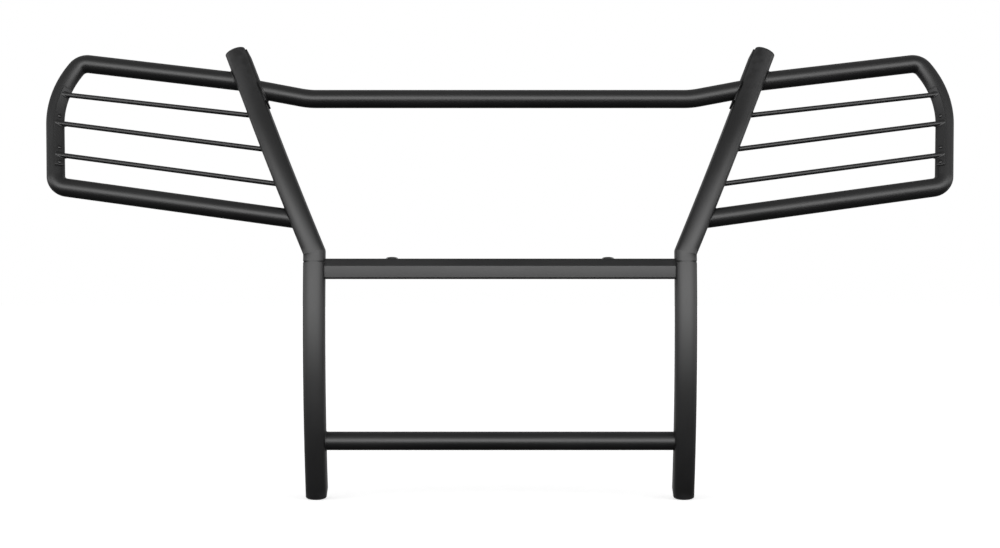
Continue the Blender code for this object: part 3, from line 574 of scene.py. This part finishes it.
def bend_rings(outline, turns):
    """Level sections through the bend: each line along the steel gets a fillet of its own radius.

    A line at a distance a across meets its turned self at a tan(turn / 2) below the bend's middle,
    and its fillet of radius r begins r tan(turn / 2) before that.
    """
    across, depth = outline.T
    radius = np.interp(across, (-HALF_WIDTH, HALF_WIDTH), (BEND_OUTER_RADIUS, BEND_INNER_RADIUS))
    reach = (across + radius) * HALF_TURN
    back, up, _ = (float(v[0, 0]) for v in arm_front(0.0))

    def back_at(level):
        climb = (BEND_HEIGHT + level - up + depth * math.sin(SEAM_LEAN)) / math.cos(SEAM_LEAN)
        return back + depth * math.cos(SEAM_LEAN) + climb * math.sin(SEAM_LEAN)

    turns = turns[:, None]
    share_done = turns / OUTWARD_ANGLE
    return stack_rings(UPRIGHT_CENTRE + across + radius * (1 - np.cos(turns)),
                       back_at(-reach) * (1 - share_done) + back_at(reach) * share_done,
                       BEND_HEIGHT - reach + radius * np.sin(turns))


# %% Finding places on the arm
HALVINGS = 40


def arm_point(run, across, depth):
    return arm_rings(np.array([[across, depth]]), run)[0, 0]


def run_at_height(height, across, depth):
    """Run at which a line along the arm reaches a height, by halving the span."""
    low, high = 0.0, 1.0
    for _ in range(HALVINGS):
        middle = (low + high) / 2
        if arm_point(middle, across, depth)[2] < height:
            low = middle
        else:
            high = middle
    return (low + high) / 2


def arm_side_point(height, across):
    return arm_point(run_at_height(height, across, MID_DEPTH), across, MID_DEPTH)


ARM_SIDE = np.array((math.cos(OUTWARD_ANGLE), 0.0, -math.sin(OUTWARD_ANGLE)))
ARM_RUN = run_at_height(ARM_HEIGHT, 0.0, 0.0)
print("arm runs", round(ARM_RUN, 4), "m above the seam")

# %% [markdown]
# The butt weld between leg and arm is ground off where it would show, so only a shallow groove is
# left, deeper towards the sides of the section. It is a change of the outline's inset over the last
# millimetres of each piece: a weight for each point of the outline says how far the point sinks.

# %% Leg and arm with the groove between them
GROOVE_DEPTH, GROOVE_REACH, GROOVE_LEAST = 0.0011, 0.0026, 0.15
groove_weight = np.clip(np.abs(upright_outline()[:, 0]) / HALF_WIDTH, GROOVE_LEAST, 1.0) ** 2
groove_steps = np.linspace(0.0, 1.0, 6)
LEG_ROWS, BEND_ROWS, ARM_ROWS = 48, 15, 40


def sunk_outline(depth_share):
    sunk = (groove_weight * depth_share)[:, None]
    return upright_outline() * (1 - sunk) + upright_outline(GROOVE_DEPTH) * sunk


outer, inner = upright_outline(), upright_outline(UPRIGHT_WALL)
leans = np.linspace(BOTTOM_LEAN, SEAM_LEAN, LEG_ROWS)[:-1]
end = CAP_FLANGE + GAP - LEG_STRAIGHT_END
lip = np.vstack([leg_rings(sunk_outline(s * s), SEAM_LEAN, -GROOVE_REACH * (1 - s))
                 for s in groove_steps])
outside = np.vstack((leg_rings(outer, BOTTOM_LEAN, end), leg_rings(outer, leans), lip))
inside = np.vstack((leg_rings(inner, BOTTOM_LEAN, end), leg_rings(inner, leans),
                    leg_rings(inner, SEAM_LEAN)))
add_both("upright_lower", np.vstack((outside, inside[::-1])), powder_coat, loop=True)

turns = np.linspace(0.0, OUTWARD_ANGLE, BEND_ROWS)
runs = np.append(STUB_LENGTH + np.linspace(0.0, ARC_LENGTH, ARM_ROWS), ARM_RUN - CAP_FLANGE - GAP)
lip = np.vstack([arm_rings(sunk_outline((1 - s) ** 2), GAP + GROOVE_REACH * s, 0.0)
                 for s in groove_steps])
outside = np.vstack((lip, bend_rings(outer, turns), arm_rings(outer, runs)))
inside = np.vstack((arm_rings(inner, GAP, 0.0), bend_rings(inner, turns), arm_rings(inner, runs)))
add_both("upright_upper", np.vstack((outside, inside[::-1])), powder_coat, loop=True)
print("uprights made; pieces and triangles so far:", made)

# %% [markdown]
# ## Plastic caps
#
# Moulded caps close both ends of each upright. A cap is a flange of the section's outline with a
# softened rim, and a plug that is pushed into the steel. It is one grid too: up the plug, out under
# the flange, and over the rim on a quarter circle.

# %% Caps
CAP_RIM = 0.0012
rim_turn = np.linspace(0.0, np.pi / 2, 7)
plug = upright_outline(UPRIGHT_WALL + GAP)
rims = [(upright_outline(CAP_RIM * (1 - np.cos(t))), CAP_RIM * (1 - np.sin(t))) for t in rim_turn]
plug_end = ARM_RUN - CAP_FLANGE - CAP_PLUG
top = [arm_rings(plug, plug_end), arm_rings(plug, ARM_RUN - CAP_FLANGE),
       arm_rings(upright_outline(), ARM_RUN - CAP_FLANGE)]
top += [arm_rings(outline, ARM_RUN - level) for outline, level in rims]
add_both("top_cap", np.vstack(top), black_plastic)
low = [leg_rings(plug, BOTTOM_LEAN, CAP_FLANGE + CAP_PLUG - LEG_STRAIGHT_END),
       leg_rings(plug, BOTTOM_LEAN, CAP_FLANGE - LEG_STRAIGHT_END),
       leg_rings(upright_outline(), BOTTOM_LEAN, CAP_FLANGE - LEG_STRAIGHT_END)]
low += [leg_rings(outline, BOTTOM_LEAN, level - LEG_STRAIGHT_END) for outline, level in rims]
add_both("bottom_cap", np.vstack(low), black_plastic)
print("caps made:", made)

# %% [markdown]
# ## Tubes along bent paths
#
# A tube bender leaves straight runs joined by arcs that are tangent to both. The path is worked out
# from its corners and bend radii, and a circle is carried along it on two axes that are square to
# the run. Each end is cut to the face it is welded to: every point of the end row slides along the
# tube until it lies on that face. A small fillet weld is the same row again, a little larger and a
# little nearer the face at each step.

# %% Paths
TUBE_POINTS = 72


def fillet_path(corners, radii, step=math.radians(1.5)):
    """Points and directions: straight runs, and arcs of each radius tangent to both neighbours."""
    corners = [np.asarray(c, dtype=float) for c in corners]
    parts = [(corners[0][None], unit(corners[1] - corners[0])[None])]
    parts += [fillet(*place, step=step) for place in zip(corners, corners[1:], corners[2:], radii)]
    parts.append((corners[-1][None], unit(corners[-1] - corners[-2])[None]))
    points, directions = zip(*parts)
    return np.vstack(points), np.vstack(directions)


def path_axes(directions):
    """The axis nearest the front and the one across it, both square to each direction."""
    front = np.array((0.0, -1.0, 0.0)) + directions[:, 1:2] * directions
    front /= np.linalg.norm(front, axis=1)[:, None]
    return front, np.cross(directions, front)


def carry(outline, points, directions, axes=None):
    """The outline on two axes at each point: rows of a swept surface."""
    first, second = path_axes(directions) if axes is None else axes
    return (points[:, None] + outline[None, :, :1] * first[:, None]
            + outline[None, :, 1:] * second[:, None])


# %% Ends and welds
WELD_LEG, WELD_RIPPLE, WELD_RIPPLES = 0.0022, 0.08, 5
weld_turn = np.linspace(0.0, np.pi / 2, 6)


def slide_to_plane(rings, direction, point, normal):
    reach = ((point - rings) @ normal) / (direction @ normal)
    return rings + reach[..., None] * direction


def weld_rows(radius, centre, inward, plane, leg=WELD_LEG, count=TUBE_POINTS):
    """From the tube's side to the face: rows grow by leg sin(t) while they near it by leg cos(t)."""
    point, normal = plane
    normal = normal * np.sign(inward @ normal)
    uneven = 1 + WELD_RIPPLE * np.sin(WELD_RIPPLES * np.arange(count) * 2 * np.pi / count)
    rows = []
    for turn in weld_turn:
        grown = circle(radius, count) * (1 + leg / radius * math.sin(turn) * uneven)[:, None]
        ring = carry(grown, centre[None], inward[None])
        rows.append(slide_to_plane(ring, inward, point + normal * (leg * math.cos(turn) - GAP), normal))
    return np.vstack(rows)


def tube_surface(path, first_plane, last_plane):
    """Outside with a weld at each end, then the bore back again."""
    points, directions = path
    start = weld_rows(TUBE_RADIUS, points[0], directions[0], first_plane)[::-1]
    finish_rows = weld_rows(TUBE_RADIUS, points[-1], directions[-1], last_plane)
    outside = np.vstack((start, carry(circle(TUBE_RADIUS, TUBE_POINTS), points[1:-1], directions[1:-1]),
                         finish_rows))
    bore = carry(circle(TUBE_RADIUS - TUBE_WALL, TUBE_POINTS), points, directions)
    bore[0] = slide_to_plane(bore[0], directions[0], *first_plane)
    bore[-1] = slide_to_plane(bore[-1], directions[-1], *last_plane)
    return np.vstack((outside, bore[::-1]))


def mirrored(plane):
    return tuple(np.asarray(v) * (-1, 1, 1) for v in plane)


# %% Lower cross tube
reach = ROLL_RADIUS - MID_DEPTH
lean = math.asin((LOWER_TUBE_HEIGHT - VERTICAL_HEIGHT) / reach)
lower_end = np.array((UPRIGHT_CENTRE - HALF_WIDTH - GAP, ROLL_RADIUS - reach * math.cos(lean),
                      LOWER_TUBE_HEIGHT))
lower_plane = (lower_end, np.array((1.0, 0.0, 0.0)))
share = np.linspace(-1.0, 1.0, 41)[:, None]
lower_points = lower_end * (0, 1, 1) + share * lower_end * (1, 0, 0)
lower_path = (lower_points, np.tile((1.0, 0.0, 0.0), (len(share), 1)))
add_piece("lower_cross_tube", tube_surface(lower_path, mirrored(lower_plane), lower_plane),
          powder_coat, loop=True)

# %% Upper cross tube
SETTLING_STEPS = 12
face = -(HALF_WIDTH + GAP + JOINT_PLATE_THICKNESS + GAP)
height = UPPER_TUBE_HEIGHT
for _ in range(SETTLING_STEPS):
    upper_end = arm_side_point(height, face)
    height = UPPER_TUBE_HEIGHT + math.tan(UPPER_TUBE_RISE) * (upper_end[0] - UPPER_TUBE_KNEE)
knee = np.array((UPPER_TUBE_KNEE, upper_end[1], UPPER_TUBE_HEIGHT))
upper_path = fillet_path([upper_end * (-1, 1, 1), knee * (-1, 1, 1), knee, upper_end],
                         [UPPER_TUBE_BEND] * 2, math.radians(0.5))
upper_plane = (upper_end, ARM_SIDE)
add_piece("upper_cross_tube", tube_surface(upper_path, mirrored(upper_plane), upper_plane),
          powder_coat, loop=True)
print("cross tubes made:", made)

# %% Wing tubes
wing_top = arm_side_point(WING_TOP_JOIN, HALF_WIDTH + GAP)
wing_bottom = arm_side_point(WING_BOTTOM_JOIN, HALF_WIDTH + GAP)
wing_path = fillet_path([wing_top, *WING_CORNERS, wing_bottom], WING_RADII)
wing_rows = tube_surface(wing_path, (wing_top, ARM_SIDE), (wing_bottom, ARM_SIDE))
add_both("wing_tube", wing_rows, powder_coat, loop=True)
print("wing tubes made:", made)

# %% [markdown]
# ## Joint plates, straps and rods
#
# A thin plate on the inner side of each arm takes the upper cross tube. A flat strap runs down the
# inner front of the wing tube, held by three button-head screws, and the rods end on it. Flat bar
# has rolled, slightly rounded edges. They matter more than their size: a sharp edge shows no light
# at all, and a rounded one draws a fine line along the piece.


# %% Flat bars
def flat_outline(first, second, radius):
    """A rectangle between two (across, depth) corners with rounded corners."""
    (x0, y0), (x1, y1) = first, second
    return rounded_outline([(x0, y0), (x1, y0), (x1, y1), (x0, y1)], [radius] * 4, steps=4)


EDGE = 0.0007
edge_turn = np.linspace(0.0, np.pi / 2, 4)


def softened(levels):
    """(inset, level) pairs that round off both ends of a prism on quarter circles."""
    low, high = levels
    start = [(EDGE * (1 - math.sin(t)), low + EDGE * (1 - math.cos(t))) for t in edge_turn]
    return start + [(inset, low + high - level) for inset, level in start[::-1]]


near, far = -(HALF_WIDTH + GAP), -(HALF_WIDTH + GAP + JOINT_PLATE_THICKNESS)
plate_outline = flat_outline((near, CROWN_DEPTH), (far, UPRIGHT_DEPTH - REAR_CORNER_RADIUS), EDGE)
beside_arm = plate_outline[:, 0] > near - EDGE - GAP
plate_outline[beside_arm, 0] = -HALF_WIDTH
plate_low = run_at_height(JOINT_PLATE_BOTTOM, near, UPRIGHT_DEPTH - REAR_CORNER_RADIUS)
plate_high = ARM_RUN - CAP_FLANGE - JOINT_PLATE_MARGIN
plate_ends = softened((plate_low, plate_high))
middle_runs = np.linspace(plate_low, plate_high, 9)[1:-1]
plate_rows = [arm_rings(inset_outline(plate_outline, i), r) for i, r in plate_ends[:4]]
plate_rows += [arm_rings(plate_outline, middle_runs)]
plate_rows += [arm_rings(inset_outline(plate_outline, i), r) for i, r in plate_ends[4:]]
add_both("joint_plate", np.vstack(plate_rows), powder_coat)
print("joint plates made:", made)


# %% Straps
def strap_axes(directions):
    """The strap's face normal and width: the front axis turned towards the opening."""
    front, other = path_axes(directions)
    inward = other * -np.sign(other[:, :1])
    normal = math.cos(STRAP_TURN) * front + math.sin(STRAP_TURN) * inward
    across = -math.sin(STRAP_TURN) * front + math.cos(STRAP_TURN) * inward
    return normal, across


def wing_outside(heights):
    """Centre and direction of the wing tube's outer run at heights, read off its path."""
    points, directions = wing_path
    outer = points[:, 0] > 2 * UPRIGHT_CENTRE
    top = np.argmax(np.where(outer, points[:, 2], -1.0))
    run_points, run_directions = points[top:][outer[top:]], directions[top:][outer[top:]]
    fall = -run_points[:, 2]
    keep = np.concatenate(([True], np.diff(fall) > 0))
    centre, along = (np.column_stack([np.interp(-heights, fall[keep], column) for column in table[keep].T])
                     for table in (run_points, run_directions))
    return centre, along / np.linalg.norm(along, axis=1)[:, None]


STRAP_INNER = TUBE_RADIUS + GAP
STRAP_OUTER = STRAP_INNER + STRAP_THICKNESS
strap_outline = flat_outline((STRAP_INNER, -STRAP_WIDTH / 2), (STRAP_OUTER, STRAP_WIDTH / 2), EDGE)
strap_heights = np.linspace(STRAP_BOTTOM, STRAP_TOP, 40)
centres, along = wing_outside(strap_heights)
strap_middle = carry(strap_outline, centres, along, strap_axes(along))
strap_rows = []
for inset, level in softened((STRAP_BOTTOM, STRAP_TOP)):
    centre, run = wing_outside(np.array([level]))
    strap_rows.append(carry(inset_outline(strap_outline, inset), centre, run, strap_axes(run)))
strap_rows = np.vstack(strap_rows[:4] + [strap_middle[1:-1]] + strap_rows[4:])
add_both("rod_strap", strap_rows, powder_coat)
print("straps made:", made)

# %% Rods
ROD_POINTS, ROD_WELD = 36, 0.0016
for number in range(ROD_COUNT):
    inner = arm_side_point(ROD_INNER_TOP - number * ROD_INNER_PITCH, HALF_WIDTH + GAP)
    centre, run = wing_outside(np.array([ROD_OUTER_TOP - number * ROD_OUTER_PITCH]))
    normal, across = strap_axes(run)
    outer = (centre + normal * (STRAP_OUTER + ROD_END_GAP) + across * ROD_SEAT_OFFSET)[0]
    heading = unit(outer - inner)
    start = weld_rows(ROD_RADIUS, inner, heading, (inner, ARM_SIDE), ROD_WELD, ROD_POINTS)[::-1]
    stop = weld_rows(ROD_RADIUS, outer, -heading, (outer, normal[0]), ROD_WELD, ROD_POINTS)
    turned_back = -np.arange(ROD_POINTS) % ROD_POINTS
    stop = stop[:, turned_back]
    add_both("rod_%d" % (number + 1), np.vstack((start, stop)), powder_coat)
print("rods made:", made)


# %% Screws
def turned_rows(profile, count, seat, axis):
    """(reach, level) pairs turned about an axis; reach is a number or a closed outline's points."""
    axis = unit(axis)
    first = unit(np.cross(axis, (0.0, 0.0, 1.0) if abs(axis[2]) < 0.9 else (1.0, 0.0, 0.0)))
    second = np.cross(axis, first)
    rows = []
    for reach, level in profile:
        flat = circle(reach, count) if np.isscalar(reach) else reach
        rows.append(seat + axis * level + flat[:, :1] * first + flat[:, 1:] * second)
    return np.array(rows)


SCREW_POINTS = 48
SHANK_RADIUS, SHANK_LENGTH = 0.0025, 0.010
HEAD_RADIUS, HEAD_DOME, HEAD_RIM, SOCKET_FLATS, SOCKET_DEPTH = 0.00425, 0.0026, 0.0006, 0.003, 0.0014
SHANK_CHAMFER, CHAMFER_LENGTH, DOME_TURN = 0.0004, 0.0006, 1.15
SOCKET_TAPER, SOCKET_TIP, SOCKET_CONE = 0.97, 0.3, 1.15
dome_turn = np.linspace(0.0, DOME_TURN, 8)
dome_rise = (HEAD_DOME - HEAD_RIM) / math.sin(DOME_TURN)
screw_profile = [(SHANK_RADIUS - SHANK_CHAMFER, -SHANK_LENGTH),
                 (SHANK_RADIUS, CHAMFER_LENGTH - SHANK_LENGTH), (SHANK_RADIUS, 0.0), (HEAD_RADIUS, 0.0)]
screw_profile += [(HEAD_RADIUS * math.cos(t), HEAD_RIM + dome_rise * math.sin(t)) for t in dome_turn]
socket = hexagon(SOCKET_FLATS, SCREW_POINTS)
screw_profile += [(socket, HEAD_DOME), (socket * SOCKET_TAPER, HEAD_DOME - SOCKET_DEPTH),
                  (socket * SOCKET_TIP, HEAD_DOME - SOCKET_DEPTH * SOCKET_CONE)]
rods_up = [ROD_OUTER_TOP - k * ROD_OUTER_PITCH for k in range(ROD_COUNT)]
screw_heights = np.array([rods_up[1] + SCREW_ABOVE_ROD, rods_up[2] + SCREW_ABOVE_ROD,
                          rods_up[2] - SCREW_BELOW_ROD])
centres, along = wing_outside(screw_heights)
normals, _ = strap_axes(along)
for number in range(len(screw_heights)):
    seat = centres[number] + normals[number] * (STRAP_OUTER + GAP)
    rows = turned_rows(screw_profile, SCREW_POINTS, seat, normals[number])
    add_both("strap_screw_%d" % (number + 1), rows, black_screw)
print("screws made:", made)

# %% [markdown]
# ## Lamp bar and its plugs
#
# The bar is sheet folded to a channel, open behind, whose upper front slopes back. Two holes in its
# top take driving lamps and are closed by domed plastic plugs. The profile is a closed outline whose
# folds are arcs. Each fold has an outer and an inner radius, about one sheet thickness apart.

# %% Lamp bar
BOTTOM_FOLD, BREAK_FOLD, TOP_FOLD = (0.0043, 0.0013), (0.0040, 0.0010), (0.0034, 0.0010)
front, deep, sheet = BAR_FRONT, BAR_FRONT + BAR_DEPTH, BAR_SHEET
slope = math.atan2(BAR_SLOPE_DEPTH, BAR_TOP - BAR_BREAK)
break_in, top_in = sheet * math.tan(slope / 2), sheet * math.tan((math.pi / 2 - slope) / 2)
bar_corners = [(deep, BAR_BOTTOM), (front, BAR_BOTTOM), (front, BAR_BREAK),
               (front + BAR_SLOPE_DEPTH, BAR_TOP), (deep, BAR_TOP), (deep, BAR_TOP - sheet),
               (front + BAR_SLOPE_DEPTH + top_in, BAR_TOP - sheet), (front + sheet, BAR_BREAK - break_in),
               (front + sheet, BAR_BOTTOM + sheet), (deep, BAR_BOTTOM + sheet)]
bar_radii = [EDGE, BOTTOM_FOLD[0], BREAK_FOLD[0], TOP_FOLD[0], EDGE,
             EDGE, TOP_FOLD[1], BREAK_FOLD[1], BOTTOM_FOLD[1], EDGE]
bar_outline = rounded_outline(bar_corners, bar_radii, steps=8)
bar_end = UPRIGHT_CENTRE - HALF_WIDTH
bar_stations = np.linspace(-bar_end, bar_end, 21)[:, None]
bar_rows = stack_rings(bar_stations, bar_outline[:, 0], bar_outline[:, 1])
add_piece("lamp_bar", bar_rows, powder_coat)

# %% Plugs
PLUG_RADIUS, PLUG_DOME, PLUG_STEM, PLUG_STEM_LENGTH = 0.01225, 0.0032, 0.0085, 0.009
STEM_CHAMFER, STEM_CHAMFER_LENGTH, PLUG_RIM, PLUG_CROWN_FLAT = 0.0008, 0.001, 0.0003, 0.06
PLUG_POINTS = 72
plug_turn = np.linspace(0.0, np.pi / 2 - PLUG_CROWN_FLAT, 14)
plug_profile = [(PLUG_STEM - STEM_CHAMFER, -PLUG_STEM_LENGTH),
                (PLUG_STEM, STEM_CHAMFER_LENGTH - PLUG_STEM_LENGTH),
                (PLUG_STEM, 0.0), (PLUG_RADIUS - PLUG_RIM, 0.0)]
plug_profile += [(PLUG_RADIUS * math.cos(t), PLUG_DOME * math.sin(t)) for t in plug_turn]
plug_seat = np.array((PLUG_SPACING / 2, BAR_FRONT + PLUG_SETBACK, BAR_TOP + GAP))
plug_rows = turned_rows(plug_profile, PLUG_POINTS, plug_seat, (0.0, 0.0, 1.0))
add_both("lamp_hole_plug", plug_rows, black_plastic)
print("lamp bar and plugs made:", made)

# %% [markdown]
# ## Mounting hardware
#
# Behind each leg stands a welded plate, and an angle bracket is bolted to it with two hexagon bolts.
# The bracket's rear flange has upright slots for the truck's own bolts. Zinc-plated bolts are bright
# against the black, and their threads are a surface r(turn, height): a radius that rises and falls
# with height less the turn, so the ridge climbs one pitch each time round.


# %% Plate and bracket
def prism_rows(outline, levels, along_x=False):
    """A prism with softened edges: its outline is in (across, back), or in (back, up) along X."""
    rows = []
    for inset, level in softened(levels):
        flat = inset_outline(outline, inset)
        rows.append(stack_rings(level, *flat.T) if along_x else stack_rings(*flat.T, level))
    return np.array(rows)


def cut(piece, cutters):
    """Cuts each closed cutter out of the piece, and keeps the result as its mesh."""
    for cutter in cutters:
        modifier = piece.modifiers.new("cut", "BOOLEAN")
        modifier.operation, modifier.solver, modifier.object = "DIFFERENCE", "EXACT", cutter
    bpy.context.view_layer.update()
    evaluated = piece.evaluated_get(bpy.context.evaluated_depsgraph_get())
    mesh = bpy.data.meshes.new_from_object(evaluated)
    piece.modifiers.clear()
    piece.data = mesh
    mesh.set_sharp_from_angle(angle=SHARP_ANGLE)


def make_cutter(rows, side):
    return new_object("cutter", closed_mesh("cutter", rows, side, loop=False))


plate_inner, plate_outer = PLATE_X - PLATE_THICKNESS / 2, PLATE_X + PLATE_THICKNESS / 2
rear_line = leg_rings(np.array([[0.0, UPRIGHT_DEPTH + GAP]]), np.linspace(BOTTOM_LEAN, SEAM_LEAN, 60))[:, 0]
seat_heights = np.linspace(PLATE_TOP, PLATE_BOTTOM, 24)
seat_line = np.column_stack((np.interp(seat_heights, rear_line[:, 2], rear_line[:, 1]), seat_heights))
turn = np.linspace(0.0, np.pi / 2, 9)
low_corner = np.column_stack((PLATE_BACK - PLATE_CORNER + PLATE_CORNER * np.sin(turn),
                              PLATE_BOTTOM + PLATE_CORNER - PLATE_CORNER * np.cos(turn)))
high_corner = low_corner[::-1] * (1, -1) + (0, PLATE_BOTTOM + PLATE_TOP)
mount_outline = np.vstack((seat_line, low_corner, high_corner))
mount_rows = prism_rows(mount_outline, (plate_inner, plate_outer), along_x=True)

OUTER_FOLD, INNER_FOLD = 0.0025, 0.004
leg_face = plate_outer + GAP
web_face, flange_end = leg_face + BRACKET_THICKNESS, leg_face + BRACKET_FLANGE
flange_face = BRACKET_BACK - BRACKET_THICKNESS
bracket_corners = [(leg_face, BRACKET_FRONT), (leg_face, BRACKET_BACK), (flange_end, BRACKET_BACK),
                   (flange_end, flange_face), (web_face, flange_face), (web_face, BRACKET_FRONT)]
bracket_outline = rounded_outline(bracket_corners, [EDGE, OUTER_FOLD, EDGE, EDGE, INNER_FOLD, EDGE])
bracket_rows = prism_rows(bracket_outline, (BRACKET_BOTTOM, BRACKET_TOP))
print("plate rows:", len(mount_rows), "bracket rows:", len(bracket_rows))

# %% Holes and slots
HOLE_RADIUS = BOLT_DIAMETER / 2 + BOLT_CLEARANCE
HOLE_POINTS, HOLE_START, HOLE_END = 48, -0.005, 0.030
ACROSS = (1.0, 0.0, 0.0)
bolt_middle = (PLATE_BOTTOM + PLATE_TOP) / 2
bolt_heights = [bolt_middle + sign * BOLT_SPACING / 2 for sign in (1, -1)]
flange_middle = leg_face + (BRACKET_THICKNESS + BRACKET_FLANGE) / 2
half_turn = np.linspace(0.0, np.pi, 17)
straight = SLOT_LENGTH / 2 - HOLE_RADIUS
slot_top = np.column_stack((HOLE_RADIUS * np.cos(half_turn), straight + HOLE_RADIUS * np.sin(half_turn)))
slot_outline = np.vstack((slot_top, -slot_top))


def slot_rows(height):
    levels = np.array((BRACKET_BACK - 2 * BRACKET_THICKNESS, BRACKET_BACK + BRACKET_THICKNESS))[:, None]
    return stack_rings(flange_middle + slot_outline[:, 0], levels, height + slot_outline[:, 1])


def hole_rows(height):
    levels = [(HOLE_RADIUS, HOLE_START), (HOLE_RADIUS, HOLE_END)]
    return turned_rows(levels, HOLE_POINTS, np.array((plate_inner - GAP, BOLT_BACK, height)), ACROSS)


for side, prefix in SIDES:
    plate = add_piece(prefix + "mounting_plate", mount_rows, powder_coat, side)
    bracket = add_piece(prefix + "frame_bracket", bracket_rows, powder_coat, side)
    holes = [make_cutter(hole_rows(height), side) for height in bolt_heights]
    slots = [make_cutter(slot_rows(height), side) for height in bolt_heights]
    cut(plate, holes)
    cut(bracket, holes + slots)
    for cutter in holes + slots:
        bpy.data.objects.remove(cutter, do_unlink=True)
print("plates and brackets made:", made)

# %% Bolts and nuts
HEX_POINTS, THREAD_PITCH, THREAD_DEPTH = 72, 0.00175, 0.0009
CHAMFER_SLOPE, CHAMFER_START, CHAMFER_HEIGHT = 0.55, 0.97, 0.0012
WASHER_SHARE, WASHER_HEIGHT, COUNTERSINK, COUNTERSINK_DEPTH = 0.95, 0.0005, 0.0007, 0.0006
FLATS_END, TIP_LENGTH, TIP_SHARE, THREAD_RUN_IN = 0.0006, 0.0005, 1.4, 0.001


def chamfered(level_from_face):
    """The hexagon, cut back to a cone near its face: the smaller of the two reaches."""
    flat = hexagon(HEX_ACROSS_FLATS, HEX_POINTS)
    reach = np.linalg.norm(flat, axis=1)
    limit = HEX_ACROSS_FLATS / 2 * CHAMFER_START + level_from_face / CHAMFER_SLOPE
    return flat * (np.minimum(reach, limit) / reach)[:, None]


chamfer_levels = np.linspace(0.0, CHAMFER_HEIGHT, 7)
grip = PLATE_THICKNESS + BRACKET_THICKNESS + 3 * GAP
thread_levels = np.arange(grip, grip + BOLT_PROJECTION - THREAD_RUN_IN, THREAD_PITCH / 8)
turn = np.arange(HEX_POINTS) / HEX_POINTS


def thread_outline(level, fade):
    phase = (level / THREAD_PITCH - turn) % 1.0
    radius = BOLT_DIAMETER / 2 - THREAD_DEPTH * fade * (1 - np.abs(2 * phase - 1))
    return circle(1.0, HEX_POINTS) * radius[:, None]


bolt_radius, washer_radius = BOLT_DIAMETER / 2, HEX_ACROSS_FLATS / 2 * WASHER_SHARE
bolt_profile = [(chamfered(level), level - HEAD_HEIGHT) for level in chamfer_levels]
bolt_profile += [(hexagon(HEX_ACROSS_FLATS, HEX_POINTS), -FLATS_END), (washer_radius, -WASHER_HEIGHT),
                 (washer_radius, 0.0), (bolt_radius, 0.0), (bolt_radius, grip - THREAD_RUN_IN)]
bolt_profile += [(thread_outline(level, min(1.0, (level - grip) / THREAD_PITCH)), level)
                 for level in thread_levels]
bolt_profile += [(bolt_radius - THREAD_DEPTH, grip + BOLT_PROJECTION - TIP_LENGTH),
                 (bolt_radius - TIP_SHARE * THREAD_DEPTH, grip + BOLT_PROJECTION)]
nut_outside = [(chamfered(level), level) for level in chamfer_levels]
nut_outside += [(outline, NUT_HEIGHT - level) for outline, level in nut_outside[::-1]]
nut_inside = [(bolt_radius + COUNTERSINK, NUT_HEIGHT), (bolt_radius + GAP, NUT_HEIGHT - COUNTERSINK_DEPTH),
              (bolt_radius + GAP, COUNTERSINK_DEPTH), (bolt_radius + COUNTERSINK, 0.0)]
nut_profile = nut_outside + nut_inside
for number, height in enumerate(bolt_heights, 1):
    head_seat = np.array((plate_inner - GAP, BOLT_BACK, height))
    add_both("bolt_%d" % number, turned_rows(bolt_profile, HEX_POINTS, head_seat, ACROSS), zinc_steel)
    nut_seat = np.array((web_face + GAP, BOLT_BACK, height))
    nut_rows = turned_rows(nut_profile, HEX_POINTS, nut_seat, ACROSS)
    add_both("nut_%d" % number, nut_rows, zinc_steel, loop=True)
print("bolts and nuts made; pieces and triangles:", made)
